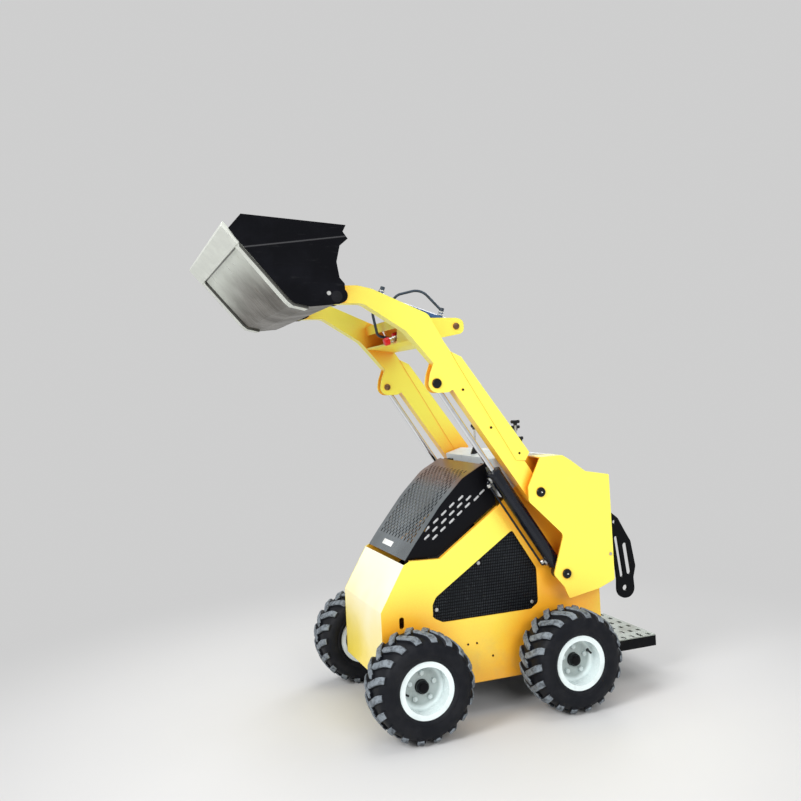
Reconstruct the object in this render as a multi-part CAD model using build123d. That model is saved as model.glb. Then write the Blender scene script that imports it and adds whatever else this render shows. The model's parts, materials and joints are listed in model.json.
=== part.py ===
"""Stand-on mini skid steer loader, lift arms raised, bucket rolled back.

Millimetres. +X is the machine's left, -Y its front (bucket end), +Z up.
Outlines are drawn in the machine's side plane as (y, z) pairs, with y = 0 midway
between the two axles and z = 0 on the ground. Everything is written out moved
along Y by FOOTPRINT_SHIFT, so that the origin lies under the middle of the
machine's footprint.
"""
from build123d import *
from math import atan2, cos, hypot, pi, sin
import os

# ---------------------------------------------------------------- driving sizes
FOOTPRINT_SHIFT = 76.5

# wheels: 18 x 8.50 - 8 tyres, skid steered, so no wheel turns in plan
WHEELBASE = 734.0
TYRE_RADIUS = 228.5
TYRE_WIDTH = 211.0
TRACK_HALF = 439.5
RIM_SEAT_RADIUS = 101.6
RIM_FLANGE_RADIUS = 120.5
STUD_CIRCLE_RADIUS = 57.5
STUD_COUNT = 5

# body
PANEL_OUTER_X = 287.0
PANEL_THICKNESS = 5.0
PANEL_INNER_X = PANEL_OUTER_X - PANEL_THICKNESS
BELLY_Z = 137.0
PAN_THICKNESS = 8.0
RAIL_HEIGHT = 50.0
BODY_REAR_Y = 634.0
HOOD_OUTER_X = 262.0
SHEET = 3.0

# operator step
STEP_HALF_WIDTH = 235.0
STEP_REAR_Y = 978.0
STEP_Z = (142.0, 197.0)
STEP_BAR = 8.0

# lift linkage, (y, z) of each pin at rest
ARM_PIVOT = (279.0, 983.0)
LIFT_BASE_PIN = (392.0, 599.0)
LIFT_ROD_PIN = (-193.0, 1500.0)
BUCKET_PIVOT = (-623.0, 1891.0)
TILT_BASE_PIN = (54.0, 1779.0)
TILT_ROD_PIN = (-575.0, 1999.0)
HOOD_HINGE = (84.0, 1108.0)

# towers and arms, across the machine
TOWER_INNER_X = 395.0
TOWER_OUTER_X = 403.0
ARM_X = (310.0, 370.0)
ARM_MID_X = sum(ARM_X) / 2
LUG_THICKNESS = 8.0
TILT_EAR_X = 38.0
TILT_EAR_THICKNESS = 10.0
PIN_CLEARANCE = 0.1
PIVOT_PIN_RADIUS = 20.0
CYLINDER_PIN_RADIUS = 15.0
PIN_HEAD_RADIUS = 22.0
PIN_HEAD_LENGTH = 9.0
PIN_CAP_RADIUS = 16.0
PIN_CAP_LENGTH = 7.0

# hydraulic cylinders: lengths run from the base pin along the cylinder, ports are
# stations along it, and riser is the height of the port's top over the axis
LIFT_BARREL = dict(
    outer=32.5, bore=27.0, length=585.0, eye=34.0, eye_width=46.0, ports=(80.0, 560.0), riser=-44.0,
)
LIFT_ROD = dict(radius=12.5, piston_top=541.0, piston_length=40.0, eye=26.0, eye_width=36.0)
TILT_BARREL = dict(
    outer=32.5, bore=27.0, length=480.0, eye=30.0, eye_width=50.0, ports=(77.0, 397.0), riser=52.0,
)
TILT_ROD = dict(radius=12.5, piston_top=310.0, piston_length=36.0, eye=24.0, eye_width=40.0)
EYE_TO_TUBE = 14.0
BARREL_BOTTOM = 12.0
GLAND_LENGTH = 24.0
BORE_CLEARANCE = 0.2
PORT_RADIUS = 10.0
PIPE_RADIUS = 5.0
HOSE_RADIUS = 6.5

# bucket
BUCKET_HALF_WIDTH = 572.0
BUCKET_PLATE = 5.0
BUCKET_SIDE_THICKNESS = 8.0
BUCKET_BACK_Y = -686.0
CUTTING_EDGE_DEPTH = 100.0


# ---------------------------------------------------------------- shared helpers
def side_plate(outline, x_low, x_high, radii=None):
    """A plate whose (y, z) outline is extruded across the machine."""
    corners = [(y, z) for y, z in outline]
    if radii is None:
        wire = Polyline(*corners, close=True)
    else:
        wire = FilletPolyline(*corners, radius=radii, close=True)
    face = Plane.YZ.offset(x_low) * make_face(wire)
    return extrude(face, amount=x_high - x_low, dir=(1, 0, 0))


def rounded_plate(table, x_low, x_high):
    """A side plate from a table of y, z, corner radius."""
    return side_plate([row[:2] for row in table], x_low, x_high, radii=[row[2] for row in table])


def bar(centre, radius, x_low, x_high):
    """A round bar or hole lying across the machine at (y, z)."""
    disc = Plane.YZ.offset(x_low) * (Pos(*centre) * Circle(radius))
    return extrude(disc, amount=x_high - x_low, dir=(1, 0, 0))


def pin_head(centre, radius, x_from, x_to):
    """A pin's round head standing outwards from x_from, its outer rim well rounded."""
    head = bar(centre, radius, min(x_from, x_to), max(x_from, x_to))
    outer_rim = head.edges().sort_by(Axis.X)[-1 if x_to > x_from else 0]
    return fillet(outer_rim, 0.6 * abs(x_to - x_from))


def slot(centre, length, width, tilt, x_low, x_high):
    """A long round-ended hole through a side plate, tilted from the Y axis in degrees."""
    shape = Plane.YZ.offset(x_low) * (Pos(*centre) * Rot(0, 0, tilt) * SlotOverall(length, width))
    return extrude(shape, amount=x_high - x_low, dir=(1, 0, 0))


def box(x_range, y_range, z_range):
    size = [high - low for low, high in (x_range, y_range, z_range)]
    middle = [(high + low) / 2 for low, high in (x_range, y_range, z_range)]
    return Pos(*middle) * Box(*size)


def ribbon(path, thickness):
    """Outline of a bent plate: the open path and its copy offset to the left."""
    shifted = []
    for i, (y, z) in enumerate(path):
        normals = []
        for (ya, za), (yb, zb) in zip(path[max(i - 1, 0):i + 1], path[max(i, 1):i + 2]):
            run = hypot(yb - ya, zb - za)
            normals.append((-(zb - za) / run, (yb - ya) / run))
        ny, nz = [sum(part) / len(normals) for part in zip(*normals)]
        scale = thickness / (ny * ny + nz * nz)
        shifted.append((y + ny * scale, z + nz * scale))
    return list(path) + shifted[::-1]


def tube_run(points, radius, bends):
    """A pipe or hose of straight runs joined by tangent bends, of one radius or a list."""
    route = FilletPolyline(*points, radius=bends)
    return sweep(Plane(origin=route @ 0, z_dir=route % 0) * Circle(radius), path=route)


def mirrored(shape):
    """The same piece on the machine's right."""
    return mirror(shape, about=Plane.YZ)


def pair(shape):
    """Left and right solids of a piece that shares one node."""
    return [shape, mirrored(shape)]


def along(base, tip):
    """Frame at base with local +X towards tip, both in the side plane."""
    angle = atan2(tip[1] - base[1], tip[0] - base[0])
    return Plane(origin=(0, base[0], base[1]), x_dir=(0, cos(angle), sin(angle)), z_dir=(1, 0, 0))


def span(a, b):
    return hypot(b[0] - a[0], b[1] - a[1])


# ---------------------------------------------------------------- wheels
def tyre():
    """Carcass at its tread's outer radius, open at the beads, axis +X."""
    half = TYRE_WIDTH / 2
    bead_x = 88.0
    wall = 14.0
    right = [
        # x, radius: tread, shoulder, sidewall and bead, then back along the inside
        (0.0, TYRE_RADIUS), (70.0, TYRE_RADIUS - 2.5), (92.0, 217.0), (half - 2.0, 192.0),
        (half, 168.0), (half - 3.0, 142.0), (bead_x + 5.0, RIM_FLANGE_RADIUS + 2.0),
        (bead_x, RIM_FLANGE_RADIUS), (bead_x, RIM_SEAT_RADIUS + 0.5),
        (bead_x - wall, RIM_SEAT_RADIUS + 0.5), (bead_x - wall, 118.0),
        (half - wall, 150.0), (half - wall, 180.0), (80.0, 204.0), (0.0, TYRE_RADIUS - wall),
    ]
    left = [(-x, r) for x, r in right[-2:0:-1]]
    return revolve(make_face(Polyline(*right, *left, close=True)), axis=Axis.X)


def stud_places():
    """Locations of the wheel studs round the hub's axis, their own Z along it."""
    angles = [2 * pi * i / STUD_COUNT + pi / 2 for i in range(STUD_COUNT)]
    circle = [(0, STUD_CIRCLE_RADIUS * cos(a), STUD_CIRCLE_RADIUS * sin(a)) for a in angles]
    return [Pos(*place) * Rot(0, 90, 0) for place in circle]


def rim():
    """Drum with two flanges and a disc set well in, drilled for the hub and studs."""
    edge = 92.0
    flange = 4.0
    drum_inner = RIM_SEAT_RADIUS - 4.0
    disc_x = (14.0, 20.0)
    section = [
        (-edge, RIM_FLANGE_RADIUS), (-edge + flange, RIM_FLANGE_RADIUS),
        (-edge + flange, RIM_SEAT_RADIUS), (edge - flange, RIM_SEAT_RADIUS),
        (edge - flange, RIM_FLANGE_RADIUS), (edge, RIM_FLANGE_RADIUS),
        (edge, drum_inner), (disc_x[1] + 8, drum_inner), (disc_x[1], 78.0), (disc_x[1], 30.0),
        (disc_x[0], 30.0), (disc_x[0], 80.0), (disc_x[0] + 8, drum_inner), (-edge, drum_inner),
    ]
    drum = revolve(make_face(Polyline(*section, close=True)), axis=Axis.X)
    hole = Pos(sum(disc_x) / 2, 0, 0)
    stud_hole_radius = 8.0
    return drum - [hole * place * Cylinder(stud_hole_radius, 20.0) for place in stud_places()]


def hub():
    """Flange behind the disc, nose through it, shaft inboard, five studs with nuts."""
    section = [
        # x, radius
        (-138.5, 0.0), (-138.5, 24.0), (-60.0, 24.0), (-60.0, 38.0), (0.0, 38.0),
        (0.0, 72.0), (14.0, 72.0), (14.0, 28.0), (40.0, 28.0), (46.0, 22.0), (46.0, 0.0),
    ]
    body = revolve(make_face(Polyline(*section, close=True)), axis=Axis.X)
    stud_radius, stud_length, stud_middle_x = 6.0, 22.0, 23.0
    nut_radius, nut_half_height, nut_middle_x = 11.0, 6.0, 26.0
    nut = extrude(RegularPolygon(nut_radius, 6), amount=nut_half_height, both=True)
    for place in stud_places():
        body += Pos(stud_middle_x, 0, 0) * place * Cylinder(stud_radius, stud_length)
        body += Pos(nut_middle_x, 0, 0) * place * nut
    return body


WHEELS = {
    "front_left": (1, -WHEELBASE / 2),
    "front_right": (-1, -WHEELBASE / 2),
    "rear_left": (1, WHEELBASE / 2),
    "rear_right": (-1, WHEELBASE / 2),
}


def wheel_pieces():
    pieces = {}
    for name, piece in (("tyre", tyre()), ("rim", rim()), ("hub", hub())):
        for place, (side, y) in WHEELS.items():
            shape = piece if side > 0 else mirrored(piece)
            pieces[f"{name}_{place}"] = Pos(side * TRACK_HALF, y, TYRE_RADIUS) * shape
    return pieces


WHEEL_MOTOR_SECTION = [
    # radius, inner face and outer face measured outwards from the panel's inner face
    (48.0, -76.0, -16.0), (62.0, -16.0, 0.0), (34.0, 0.0, PANEL_THICKNESS + 13.0),
]


def wheel_motors():
    """Four hydraulic motors bolted inside the side panels, noses through them."""
    motors = []
    for side, y in WHEELS.values():
        motor = Part()
        for radius, inner, outer in WHEEL_MOTOR_SECTION:
            motor += bar((y, TYRE_RADIUS), radius, PANEL_INNER_X + inner, PANEL_INNER_X + outer)
        motors.append(motor if side > 0 else mirrored(motor))
    return motors


# ---------------------------------------------------------------- body
HOOD_LINE = [(-329.0, 718.0), (-186.0, 713.0), (116.0, 922.0)]
NOSE = [(-400.0, BELLY_Z), (-475.0, 196.0), (-475.0, 508.0), (-358.0, 704.0)]
TOWER_TOP = [(401.0, 1142.0), (442.0, 1116.0), (519.0, 1059.0)]
RAIL_X = 115.0
RAIL_WIDTH = 50.0
RAIL_TOP_Z = BELLY_Z + PAN_THICKNESS + RAIL_HEIGHT
RAIL_FRONT_Y = -330.0
PAN_FRONT_Y = -392.0
CHASSIS_WALL_TOP_Z = 950.0
ENGINE_BLOCK = ((-200.0, 200.0), (-180.0, 330.0), (RAIL_TOP_Z, 690.0))


def chassis_frame():
    """Belly pan, rear wall and two engine rails, welded."""
    width = (-PANEL_INNER_X, PANEL_INNER_X)
    wall_y = (BODY_REAR_Y - PAN_THICKNESS, BODY_REAR_Y)
    pan_top = BELLY_Z + PAN_THICKNESS
    frame = box(width, (PAN_FRONT_Y, BODY_REAR_Y), (BELLY_Z, pan_top))
    frame += box(width, wall_y, (pan_top, CHASSIS_WALL_TOP_Z))
    for x in (-RAIL_X, RAIL_X):
        rail_x = (x - RAIL_WIDTH / 2, x + RAIL_WIDTH / 2)
        frame += box(rail_x, (RAIL_FRONT_Y, wall_y[0]), (pan_top, RAIL_TOP_Z))
    return frame


def engine_block():
    return box(*ENGINE_BLOCK)


SIDE_OPENING = [
    # y, z, corner radius
    (-232, 512, 14), (-214, 545, 30), (181, 805, 12), (299, 615, 30),
    (299, 455, 20), (262, 430, 20), (-185, 430, 25), (-232, 455, 25),
]
TIE_DOWN_SLOT = dict(centre=(-381.5, 452.5), length=51.0, width=23.0, tilt=90.0)
LEDGE_THICKNESS = 4.0
LEDGE_GAP = 4.5


def side_panel():
    """Left side plate: grille opening, hub holes, pin holes, inward top ledge."""
    outline = [
        *NOSE, *HOOD_LINE, (217, 1011), (234, 1050), (280, 1142), *TOWER_TOP,
        (BODY_REAR_Y, 1037), (BODY_REAR_Y, BELLY_Z),
    ]
    plate = side_plate(outline, PANEL_INNER_X, PANEL_OUTER_X)
    cut_x = (PANEL_INNER_X - 1, PANEL_OUTER_X + 1)
    plate -= rounded_plate(SIDE_OPENING, *cut_x)
    motor_nose_radius = WHEEL_MOTOR_SECTION[-1][0]
    for y in (-WHEELBASE / 2, WHEELBASE / 2):
        plate -= bar((y, TYRE_RADIUS), motor_nose_radius + 0.5, *cut_x)
    plate -= slot(*TIE_DOWN_SLOT.values(), *cut_x)
    plate -= bar(ARM_PIVOT, PIVOT_PIN_RADIUS, *cut_x)
    plate -= bar(LIFT_BASE_PIN, CYLINDER_PIN_RADIUS, *cut_x)
    ledge = side_plate(ribbon(HOOD_LINE[::-1], LEDGE_THICKNESS), HOOD_OUTER_X + LEDGE_GAP, PANEL_INNER_X)
    return plate + ledge


GRILLE_OUTLINE = [(-255, 400), (-255, 560), (185, 848), (325, 630), (325, 400)]
GRILLE_THICKNESS = 4.0


def side_grille():
    """Flat mesh panel behind the opening, resting on the plate's inner face."""
    return side_plate(GRILLE_OUTLINE, PANEL_INNER_X - GRILLE_THICKNESS, PANEL_INNER_X)


def nose_panel():
    """One plate folded along the nose, between the side panels."""
    return side_plate(ribbon(NOSE[::-1], PANEL_THICKNESS), -PANEL_INNER_X, PANEL_INNER_X)


HOOD_TOP = [(-350.0, 712.8), (-297.0, 784.0), (-163.0, 950.0), (-48.0, 1063.0), (64.0, 1122.0)]
HOOD_SHEET = ribbon(HOOD_TOP[::-1], SHEET)
KNUCKLE_X = (206.0, 234.0)
KNUCKLE_RADIUS = 9.0
HINGE_PIN_RADIUS = 5.0
HINGE_LEAF_HALF = 8.0
HINGE_TAB_THICKNESS = 6.0
HINGE_TAB_GAP = 1.0
HINGE_TAB_HALF = 9.0
HINGE_TAB_REACH = 40.0


def hood_screen():
    """Bent screen over the engine, full width of the hood, with two hinge knuckles."""
    screen = side_plate(HOOD_SHEET, -HOOD_OUTER_X, HOOD_OUTER_X)
    y, z = HOOD_HINGE
    leaf_end = [(y - 3, z + HINGE_LEAF_HALF), (y + 3, z - HINGE_LEAF_HALF)]
    leaf = side_plate([(34, 1105), *leaf_end, (39, 1096)], *KNUCKLE_X)
    knuckle = bar(HOOD_HINGE, KNUCKLE_RADIUS, *KNUCKLE_X) + leaf
    screen += knuckle + mirrored(knuckle)
    return screen - bar(HOOD_HINGE, HINGE_PIN_RADIUS + PIN_CLEARANCE, -HOOD_OUTER_X, HOOD_OUTER_X)


HOOD_SLOT = dict(length=35.0, width=11.0, tilt=38.0)
HOOD_SLOT_STEP = (39.0, -4.0)
HOOD_SLOT_ROWS = [
    # y and z of the first slot's middle, slots in the row
    (50, 990, 1), (-58, 972, 3), (-104, 944, 3), (-145, 912, 3),
    (-186, 880, 3), (-231, 848, 3), (-233, 812, 2),
]


def hood_side():
    """Side cheek under the screen, following it, with rows of slots."""
    under = HOOD_SHEET[len(HOOD_TOP):]
    outline = [*under, (96, 1042), (118, 932), (-190, 720), (-322, 725)]
    cheek = side_plate(outline, HOOD_OUTER_X - SHEET, HOOD_OUTER_X)
    for y, z, count in HOOD_SLOT_ROWS:
        for i in range(count):
            centre = (y + i * HOOD_SLOT_STEP[0], z + i * HOOD_SLOT_STEP[1])
            cheek -= slot(centre, *HOOD_SLOT.values(), HOOD_OUTER_X - SHEET - 1, HOOD_OUTER_X + 1)
    return cheek


CONSOLE_TOP = [(104.0, 1140.0), (190.0, 1165.0), (420.0, 1140.0), (560.0, 1060.0), (BODY_REAR_Y, 950.0)]
CONSOLE_FRONT = [(140.0, 960.0), (120.0, 1060.0)]


def console():
    """Grey control housing between the towers, behind the hood."""
    return side_plate(CONSOLE_FRONT + CONSOLE_TOP, -PANEL_INNER_X, PANEL_INNER_X)


def hood_hinges():
    """Two pins, each held by a pair of tabs on the console's front."""
    y, z = HOOD_HINGE
    beside = HINGE_TAB_THICKNESS + HINGE_TAB_GAP
    hinge = bar(HOOD_HINGE, HINGE_PIN_RADIUS, KNUCKLE_X[0] - beside, KNUCKLE_X[1] + beside)
    tab_y = (y - HINGE_TAB_HALF, y + HINGE_TAB_REACH)
    tab_z = (z - HINGE_TAB_HALF, z + HINGE_TAB_HALF)
    for x in (KNUCKLE_X[0] - beside, KNUCKLE_X[1] + HINGE_TAB_GAP):
        hinge += box((x, x + HINGE_TAB_THICKNESS), tab_y, tab_z)
    return hinge - console()


LEVERS = [
    # x, y, top z, handle length along Y
    (60, 343, 1296, 46), (-60, 405, 1264, 46), (0, 146, 1286, 34), (120, 335, 1217, 30),
]
LEVER_RADIUS = 6.0
HANDLE_RADIUS = 9.0


def control_levers():
    """Stems standing in the console's top, each with a cross handle."""
    housing = console()
    foot_z = CONSOLE_TOP[0][1]
    levers = []
    for x, y, z_top, handle in LEVERS:
        lever = Pos(x, y, (foot_z + z_top) / 2) * Cylinder(LEVER_RADIUS, z_top - foot_z)
        lever += Pos(x, y, z_top) * Rot(90, 0, 0) * Cylinder(HANDLE_RADIUS, handle)
        levers.append(lever - housing)
    return levers


LOCK_LINK_X = (244.0, 256.0)
LOCK_LINK_OUTLINE = [
    # y, z, corner radius
    (BODY_REAR_Y, 850, 3), (716, 850, 25), (779, 800, 30), (818, 728, 10), (846, 680, 20),
    (867, 555, 20), (852, 500, 10), (858, 405, 48), (752, 405, 48), (757, 500, 20),
    (738, 735, 30), (700, 800, 20), (BODY_REAR_Y, 800, 3),
]
LOCK_LINK_SLOTS = [
    # y, z, length, width, tilt
    (774, 610, 205, 20, -83), (819, 596, 158, 25, -83),
]
LOCK_LINK_HOLES = [
    # y, z, radius
    (801, 455, 14), (757, 782, 9),
]


def arm_lock_link():
    """Slotted bar that hangs behind the body and locks the raised arms."""
    link = rounded_plate(LOCK_LINK_OUTLINE, *LOCK_LINK_X)
    for y, z, *size in LOCK_LINK_SLOTS:
        link -= slot((y, z), *size, LOCK_LINK_X[0] - 1, LOCK_LINK_X[1] + 1)
    for y, z, radius in LOCK_LINK_HOLES:
        link -= bar((y, z), radius, LOCK_LINK_X[0] - 1, LOCK_LINK_X[1] + 1)
    return link


TREAD_Z = (STEP_Z[1] - 5.0, STEP_Z[1])
TREAD_SLOT = dict(length=36.0, width=18.0)
TREAD_SLOT_PITCH = (84.0, 48.0)
TREAD_COLUMNS, TREAD_ROWS = 6, 7
TREAD_REAR_MARGIN = 28.0


def platform_frame():
    """Two rails and three cross bars of flat bar, welded under the tread."""
    height = (STEP_Z[0], TREAD_Z[0])
    frame = Part()
    for x in (-STEP_HALF_WIDTH, STEP_HALF_WIDTH - STEP_BAR):
        frame += box((x, x + STEP_BAR), (BODY_REAR_Y, STEP_REAR_Y), height)
    middle = (BODY_REAR_Y + STEP_REAR_Y - STEP_BAR) / 2
    for y in (BODY_REAR_Y, middle, STEP_REAR_Y - STEP_BAR):
        frame += box((-STEP_HALF_WIDTH, STEP_HALF_WIDTH), (y, y + STEP_BAR), height)
    return frame


def platform_tread():
    """Step plate with rows of grip slots."""
    plate = box((-STEP_HALF_WIDTH, STEP_HALF_WIDTH), (BODY_REAR_Y, STEP_REAR_Y), TREAD_Z)
    x_pitch, y_pitch = TREAD_SLOT_PITCH
    cutter = extrude(SlotOverall(*TREAD_SLOT.values()), amount=20, both=True)
    for column in range(TREAD_COLUMNS):
        for row in range(TREAD_ROWS):
            x = (column - (TREAD_COLUMNS - 1) / 2) * x_pitch
            plate -= Pos(x, STEP_REAR_Y - TREAD_REAR_MARGIN - row * y_pitch, TREAD_Z[0]) * cutter
    return plate


# ---------------------------------------------------------------- towers
TOWER_OUTLINE = [
    # y, z, corner radius
    (286, 1142, 10), (401, 1143, 30), (442, 1117, 30), (519, 1060, 20), (646, 1036, 8),
    (648, 542, 14), (561, 511, 20), (400, 484, 12), (377, 540, 20), (327, 600, 20),
    (386, 778, 30), (217, 945, 25), (217, 1011, 12),
]
TOWER_BACK = [(286.0, 1142.0), *TOWER_TOP, (645.0, 1035.0), (647.0, 543.0), (561.0, 512.0)]
TOWER_BACK_THICKNESS = 6.0


def tower_plate():
    """Outer plate of the left tower, drilled for the arm and cylinder pins."""
    plate = rounded_plate(TOWER_OUTLINE, TOWER_INNER_X, TOWER_OUTER_X)
    plate -= bar(ARM_PIVOT, PIVOT_PIN_RADIUS, TOWER_INNER_X - 1, TOWER_OUTER_X + 1)
    return plate - bar(LIFT_BASE_PIN, CYLINDER_PIN_RADIUS, TOWER_INNER_X - 1, TOWER_OUTER_X + 1)


def tower_back():
    """Folded plate that closes the tower's top, rear and foot."""
    return side_plate(ribbon(TOWER_BACK[::-1], TOWER_BACK_THICKNESS), PANEL_OUTER_X, TOWER_INNER_X)


def tower_pins():
    """Arm pivot and cylinder base pins, with a head outside the plate."""
    pins = []
    for centre, radius in ((ARM_PIVOT, PIVOT_PIN_RADIUS), (LIFT_BASE_PIN, CYLINDER_PIN_RADIUS)):
        shaft = bar(centre, radius, PANEL_INNER_X, TOWER_OUTER_X)
        head = pin_head(centre, PIN_HEAD_RADIUS, TOWER_OUTER_X, TOWER_OUTER_X + PIN_HEAD_LENGTH)
        pins += pair(shaft + head)
    return pins


# ---------------------------------------------------------------- lift arms
ARM_OUTLINE = [
    # y, z, corner radius
    (-659, 1934, 30), (-540, 1936, 60), (-474, 1921, 40), (-219, 1809, 40), (-149, 1683, 30),
    (-118, 1638, 5), (325, 974, 40), (266, 905, 40), (-131, 1490, 10), (-207, 1596, 10),
    (-260, 1659, 30), (-327, 1736, 60), (-518, 1858, 60), (-659, 1858, 30),
]
LUG_OUTLINE = [
    (-150, 1640, 3), (-90, 1482, 3), (-140, 1458, 20), (-237, 1458, 42), (-222, 1540, 20),
    (-190, 1625, 3),
]
PIVOT_COLLAR_RADIUS = 34.0
PIVOT_COLLAR_LENGTH = 12.0


def arm():
    """Left arm: gooseneck box beam with pivot collars and two cylinder lugs."""
    low, high = ARM_X
    beam = rounded_plate(ARM_OUTLINE, low, high)
    for x in (low, high - LUG_THICKNESS):
        beam += rounded_plate(LUG_OUTLINE, x, x + LUG_THICKNESS)
    for x in (low - PIVOT_COLLAR_LENGTH, high):
        beam += bar(ARM_PIVOT, PIVOT_COLLAR_RADIUS, x, x + PIVOT_COLLAR_LENGTH)
    beam -= bar(ARM_PIVOT, PIVOT_PIN_RADIUS + PIN_CLEARANCE, low - 20, high + 20)
    return beam - bar(BUCKET_PIVOT, CYLINDER_PIN_RADIUS + PIN_CLEARANCE, low - 20, high + 20)


GUARD_OUTLINE = [(-118, 1638), (-70, 1614), (247, 1166), (226, 1130), (178, 1134), (-90, 1586)]
GUARD_HOLLOW = [(-160, 1690), (-101, 1650), (243, 1165), (262, 1100), (100, 1100), (-170, 1500)]


def hose_guard():
    """Inverted channel, open at both ends, over the upper side of the arm's straight length."""
    low, high = ARM_X
    return side_plate(GUARD_OUTLINE, low - SHEET, high + SHEET) - side_plate(GUARD_HOLLOW, low, high)


CROSS_PATH = [(-294, 1697), (-150, 1676), (-196, 1802), (-296, 1812), (-288, 1768)]
CROSS_PLATE = 8.0
CROSS_FRONT_X = 150.0
HOSE_X = -46.0
HOSE_HOLE = (HOSE_X, -256.0)
HOSE_HOLE_RADIUS = 16.0
TILT_EAR_OUTLINE = [
    # y, z, corner radius
    (-162, 1700, 5), (-39, 1722, 30), (54, 1738, 5), (95, 1745, 30),
    (95, 1812, 30), (54, 1820, 5), (-86, 1822, 30), (-196, 1796, 5),
]


def cross_member():
    """Open-fronted channel between the arms' knees, with two ears behind for the tilt cylinder."""
    channel = side_plate(ribbon(CROSS_PATH, CROSS_PLATE), -ARM_X[0], ARM_X[0])
    bottom, lip = CROSS_PATH[0], (CROSS_PATH[-1][0], CROSS_PATH[-1][1] + 4)
    front = [bottom, (bottom[0] + CROSS_PLATE, bottom[1]), (lip[0] + CROSS_PLATE, lip[1]), lip]
    channel += side_plate(front, CROSS_FRONT_X, ARM_X[0])
    for x in (TILT_EAR_X, -TILT_EAR_X - TILT_EAR_THICKNESS):
        channel += rounded_plate(TILT_EAR_OUTLINE, x, x + TILT_EAR_THICKNESS)
    hose_hole = Pos(*HOSE_HOLE, CROSS_PATH[3][1]) * Cylinder(HOSE_HOLE_RADIUS, 60.0)
    return channel - hose_hole - bar(TILT_BASE_PIN, CYLINDER_PIN_RADIUS, -50, 50)


COUPLERS = [
    # x, y and z of the cap's middle, cap radius
    (120, -332, 1707, 19), (70, -272, 1738, 16),
]
COUPLER_AXIS = (0.0, -0.951, -0.309)
COUPLER_BODY_RADIUS = 10.0
COUPLER_CAP_LENGTH = 26.0
COUPLER_ROOT_Y = -170.0


def quick_couplers():
    """Two capped auxiliary couplers that reach out of the cross member's open front."""
    member = cross_member()
    couplers = []
    for x, y, z, cap_radius in COUPLERS:
        place = Location(Plane(origin=(x, y, z), z_dir=COUPLER_AXIS))
        reach = (COUPLER_ROOT_Y - y) / -COUPLER_AXIS[1]
        coupler = Pos(0, 0, -reach / 2) * Cylinder(COUPLER_BODY_RADIUS, reach)
        coupler += Cylinder(cap_radius, COUPLER_CAP_LENGTH)
        couplers.append((place * coupler - member).solids().sort_by(Axis.Y)[0])
    return couplers


def arm_pins():
    """Cap ends of the lift rods' pins, and the tilt cylinder's base pin."""
    inner, outer = ARM_X
    pins = pair(pin_head(LIFT_ROD_PIN, PIN_CAP_RADIUS, inner, inner - PIN_CAP_LENGTH))
    pins += pair(pin_head(LIFT_ROD_PIN, PIN_HEAD_RADIUS, outer, outer + PIN_HEAD_LENGTH))
    ear_outer = TILT_EAR_X + TILT_EAR_THICKNESS
    tilt_pin = bar(TILT_BASE_PIN, CYLINDER_PIN_RADIUS, -ear_outer, ear_outer)
    cap = pin_head(TILT_BASE_PIN, PIN_CAP_RADIUS, ear_outer, ear_outer + PIN_CAP_LENGTH)
    return pins + [tilt_pin + cap + mirrored(cap)]


# ---------------------------------------------------------------- cylinders
def cylinder_axis(base, tip, mid_x):
    """Location at the base pin: local Z runs up the cylinder, local X across the machine."""
    up = (0, tip[0] - base[0], tip[1] - base[1])
    return Location(Plane(origin=(mid_x, *base), x_dir=(1, 0, 0), z_dir=up))


def turned(radius, start, end):
    """A round length about local Z."""
    return Pos(0, 0, (start + end) / 2) * Cylinder(radius, end - start)


def cylinder_barrel(size, rod_radius):
    """Base eye, tube with its bore, a gland at the open end and two ports, about local Z."""
    bottom = size["eye"] + EYE_TO_TUBE
    barrel = turned(size["outer"], bottom, size["length"]) + turned(size["eye_width"] / 2 - 2, 0, bottom)
    barrel += Rot(0, 90, 0) * Cylinder(size["eye"], size["eye_width"])
    side = 1 if size["riser"] > 0 else -1
    for station in size["ports"]:
        middle = side * (size["bore"] + 3) + size["riser"]
        port = Rot(90, 0, 0) * Cylinder(PORT_RADIUS, abs(size["riser"]) - size["bore"] - 3)
        barrel += Pos(0, middle / 2, station) * port
    barrel -= turned(size["bore"], bottom + BARREL_BOTTOM, size["length"] - GLAND_LENGTH)
    barrel -= turned(rod_radius + BORE_CLEARANCE, size["length"] - GLAND_LENGTH - 1, size["length"] + 1)
    return barrel - Rot(0, 90, 0) * Cylinder(CYLINDER_PIN_RADIUS + PIN_CLEARANCE, 2 * size["eye_width"])


def cylinder_rod(size, bore, reach):
    """Piston, chromed rod and the eye that holds its own bush, about local Z."""
    rod = turned(bore - 0.3, size["piston_top"] - size["piston_length"], size["piston_top"])
    rod += turned(size["radius"], size["piston_top"], reach)
    return rod + Pos(0, 0, reach) * Rot(0, 90, 0) * Cylinder(size["eye"], size["eye_width"])


def lift_cylinder():
    """Left lift cylinder, with the rod side's steel pipe running back along its front."""
    place = cylinder_axis(LIFT_BASE_PIN, LIFT_ROD_PIN, ARM_MID_X)
    low, high = LIFT_BARREL["ports"]
    foot, run = LIFT_BARREL["riser"] + 2, LIFT_BARREL["riser"] - 10
    pipe = tube_run([(0, foot, high), (0, run, high), (0, run, low), (0, foot, low)], PIPE_RADIUS, 8)
    barrel = cylinder_barrel(LIFT_BARREL, LIFT_ROD["radius"]) + pipe
    rod = cylinder_rod(LIFT_ROD, LIFT_BARREL["bore"], span(LIFT_BASE_PIN, LIFT_ROD_PIN))
    return place * barrel, place * rod


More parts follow.
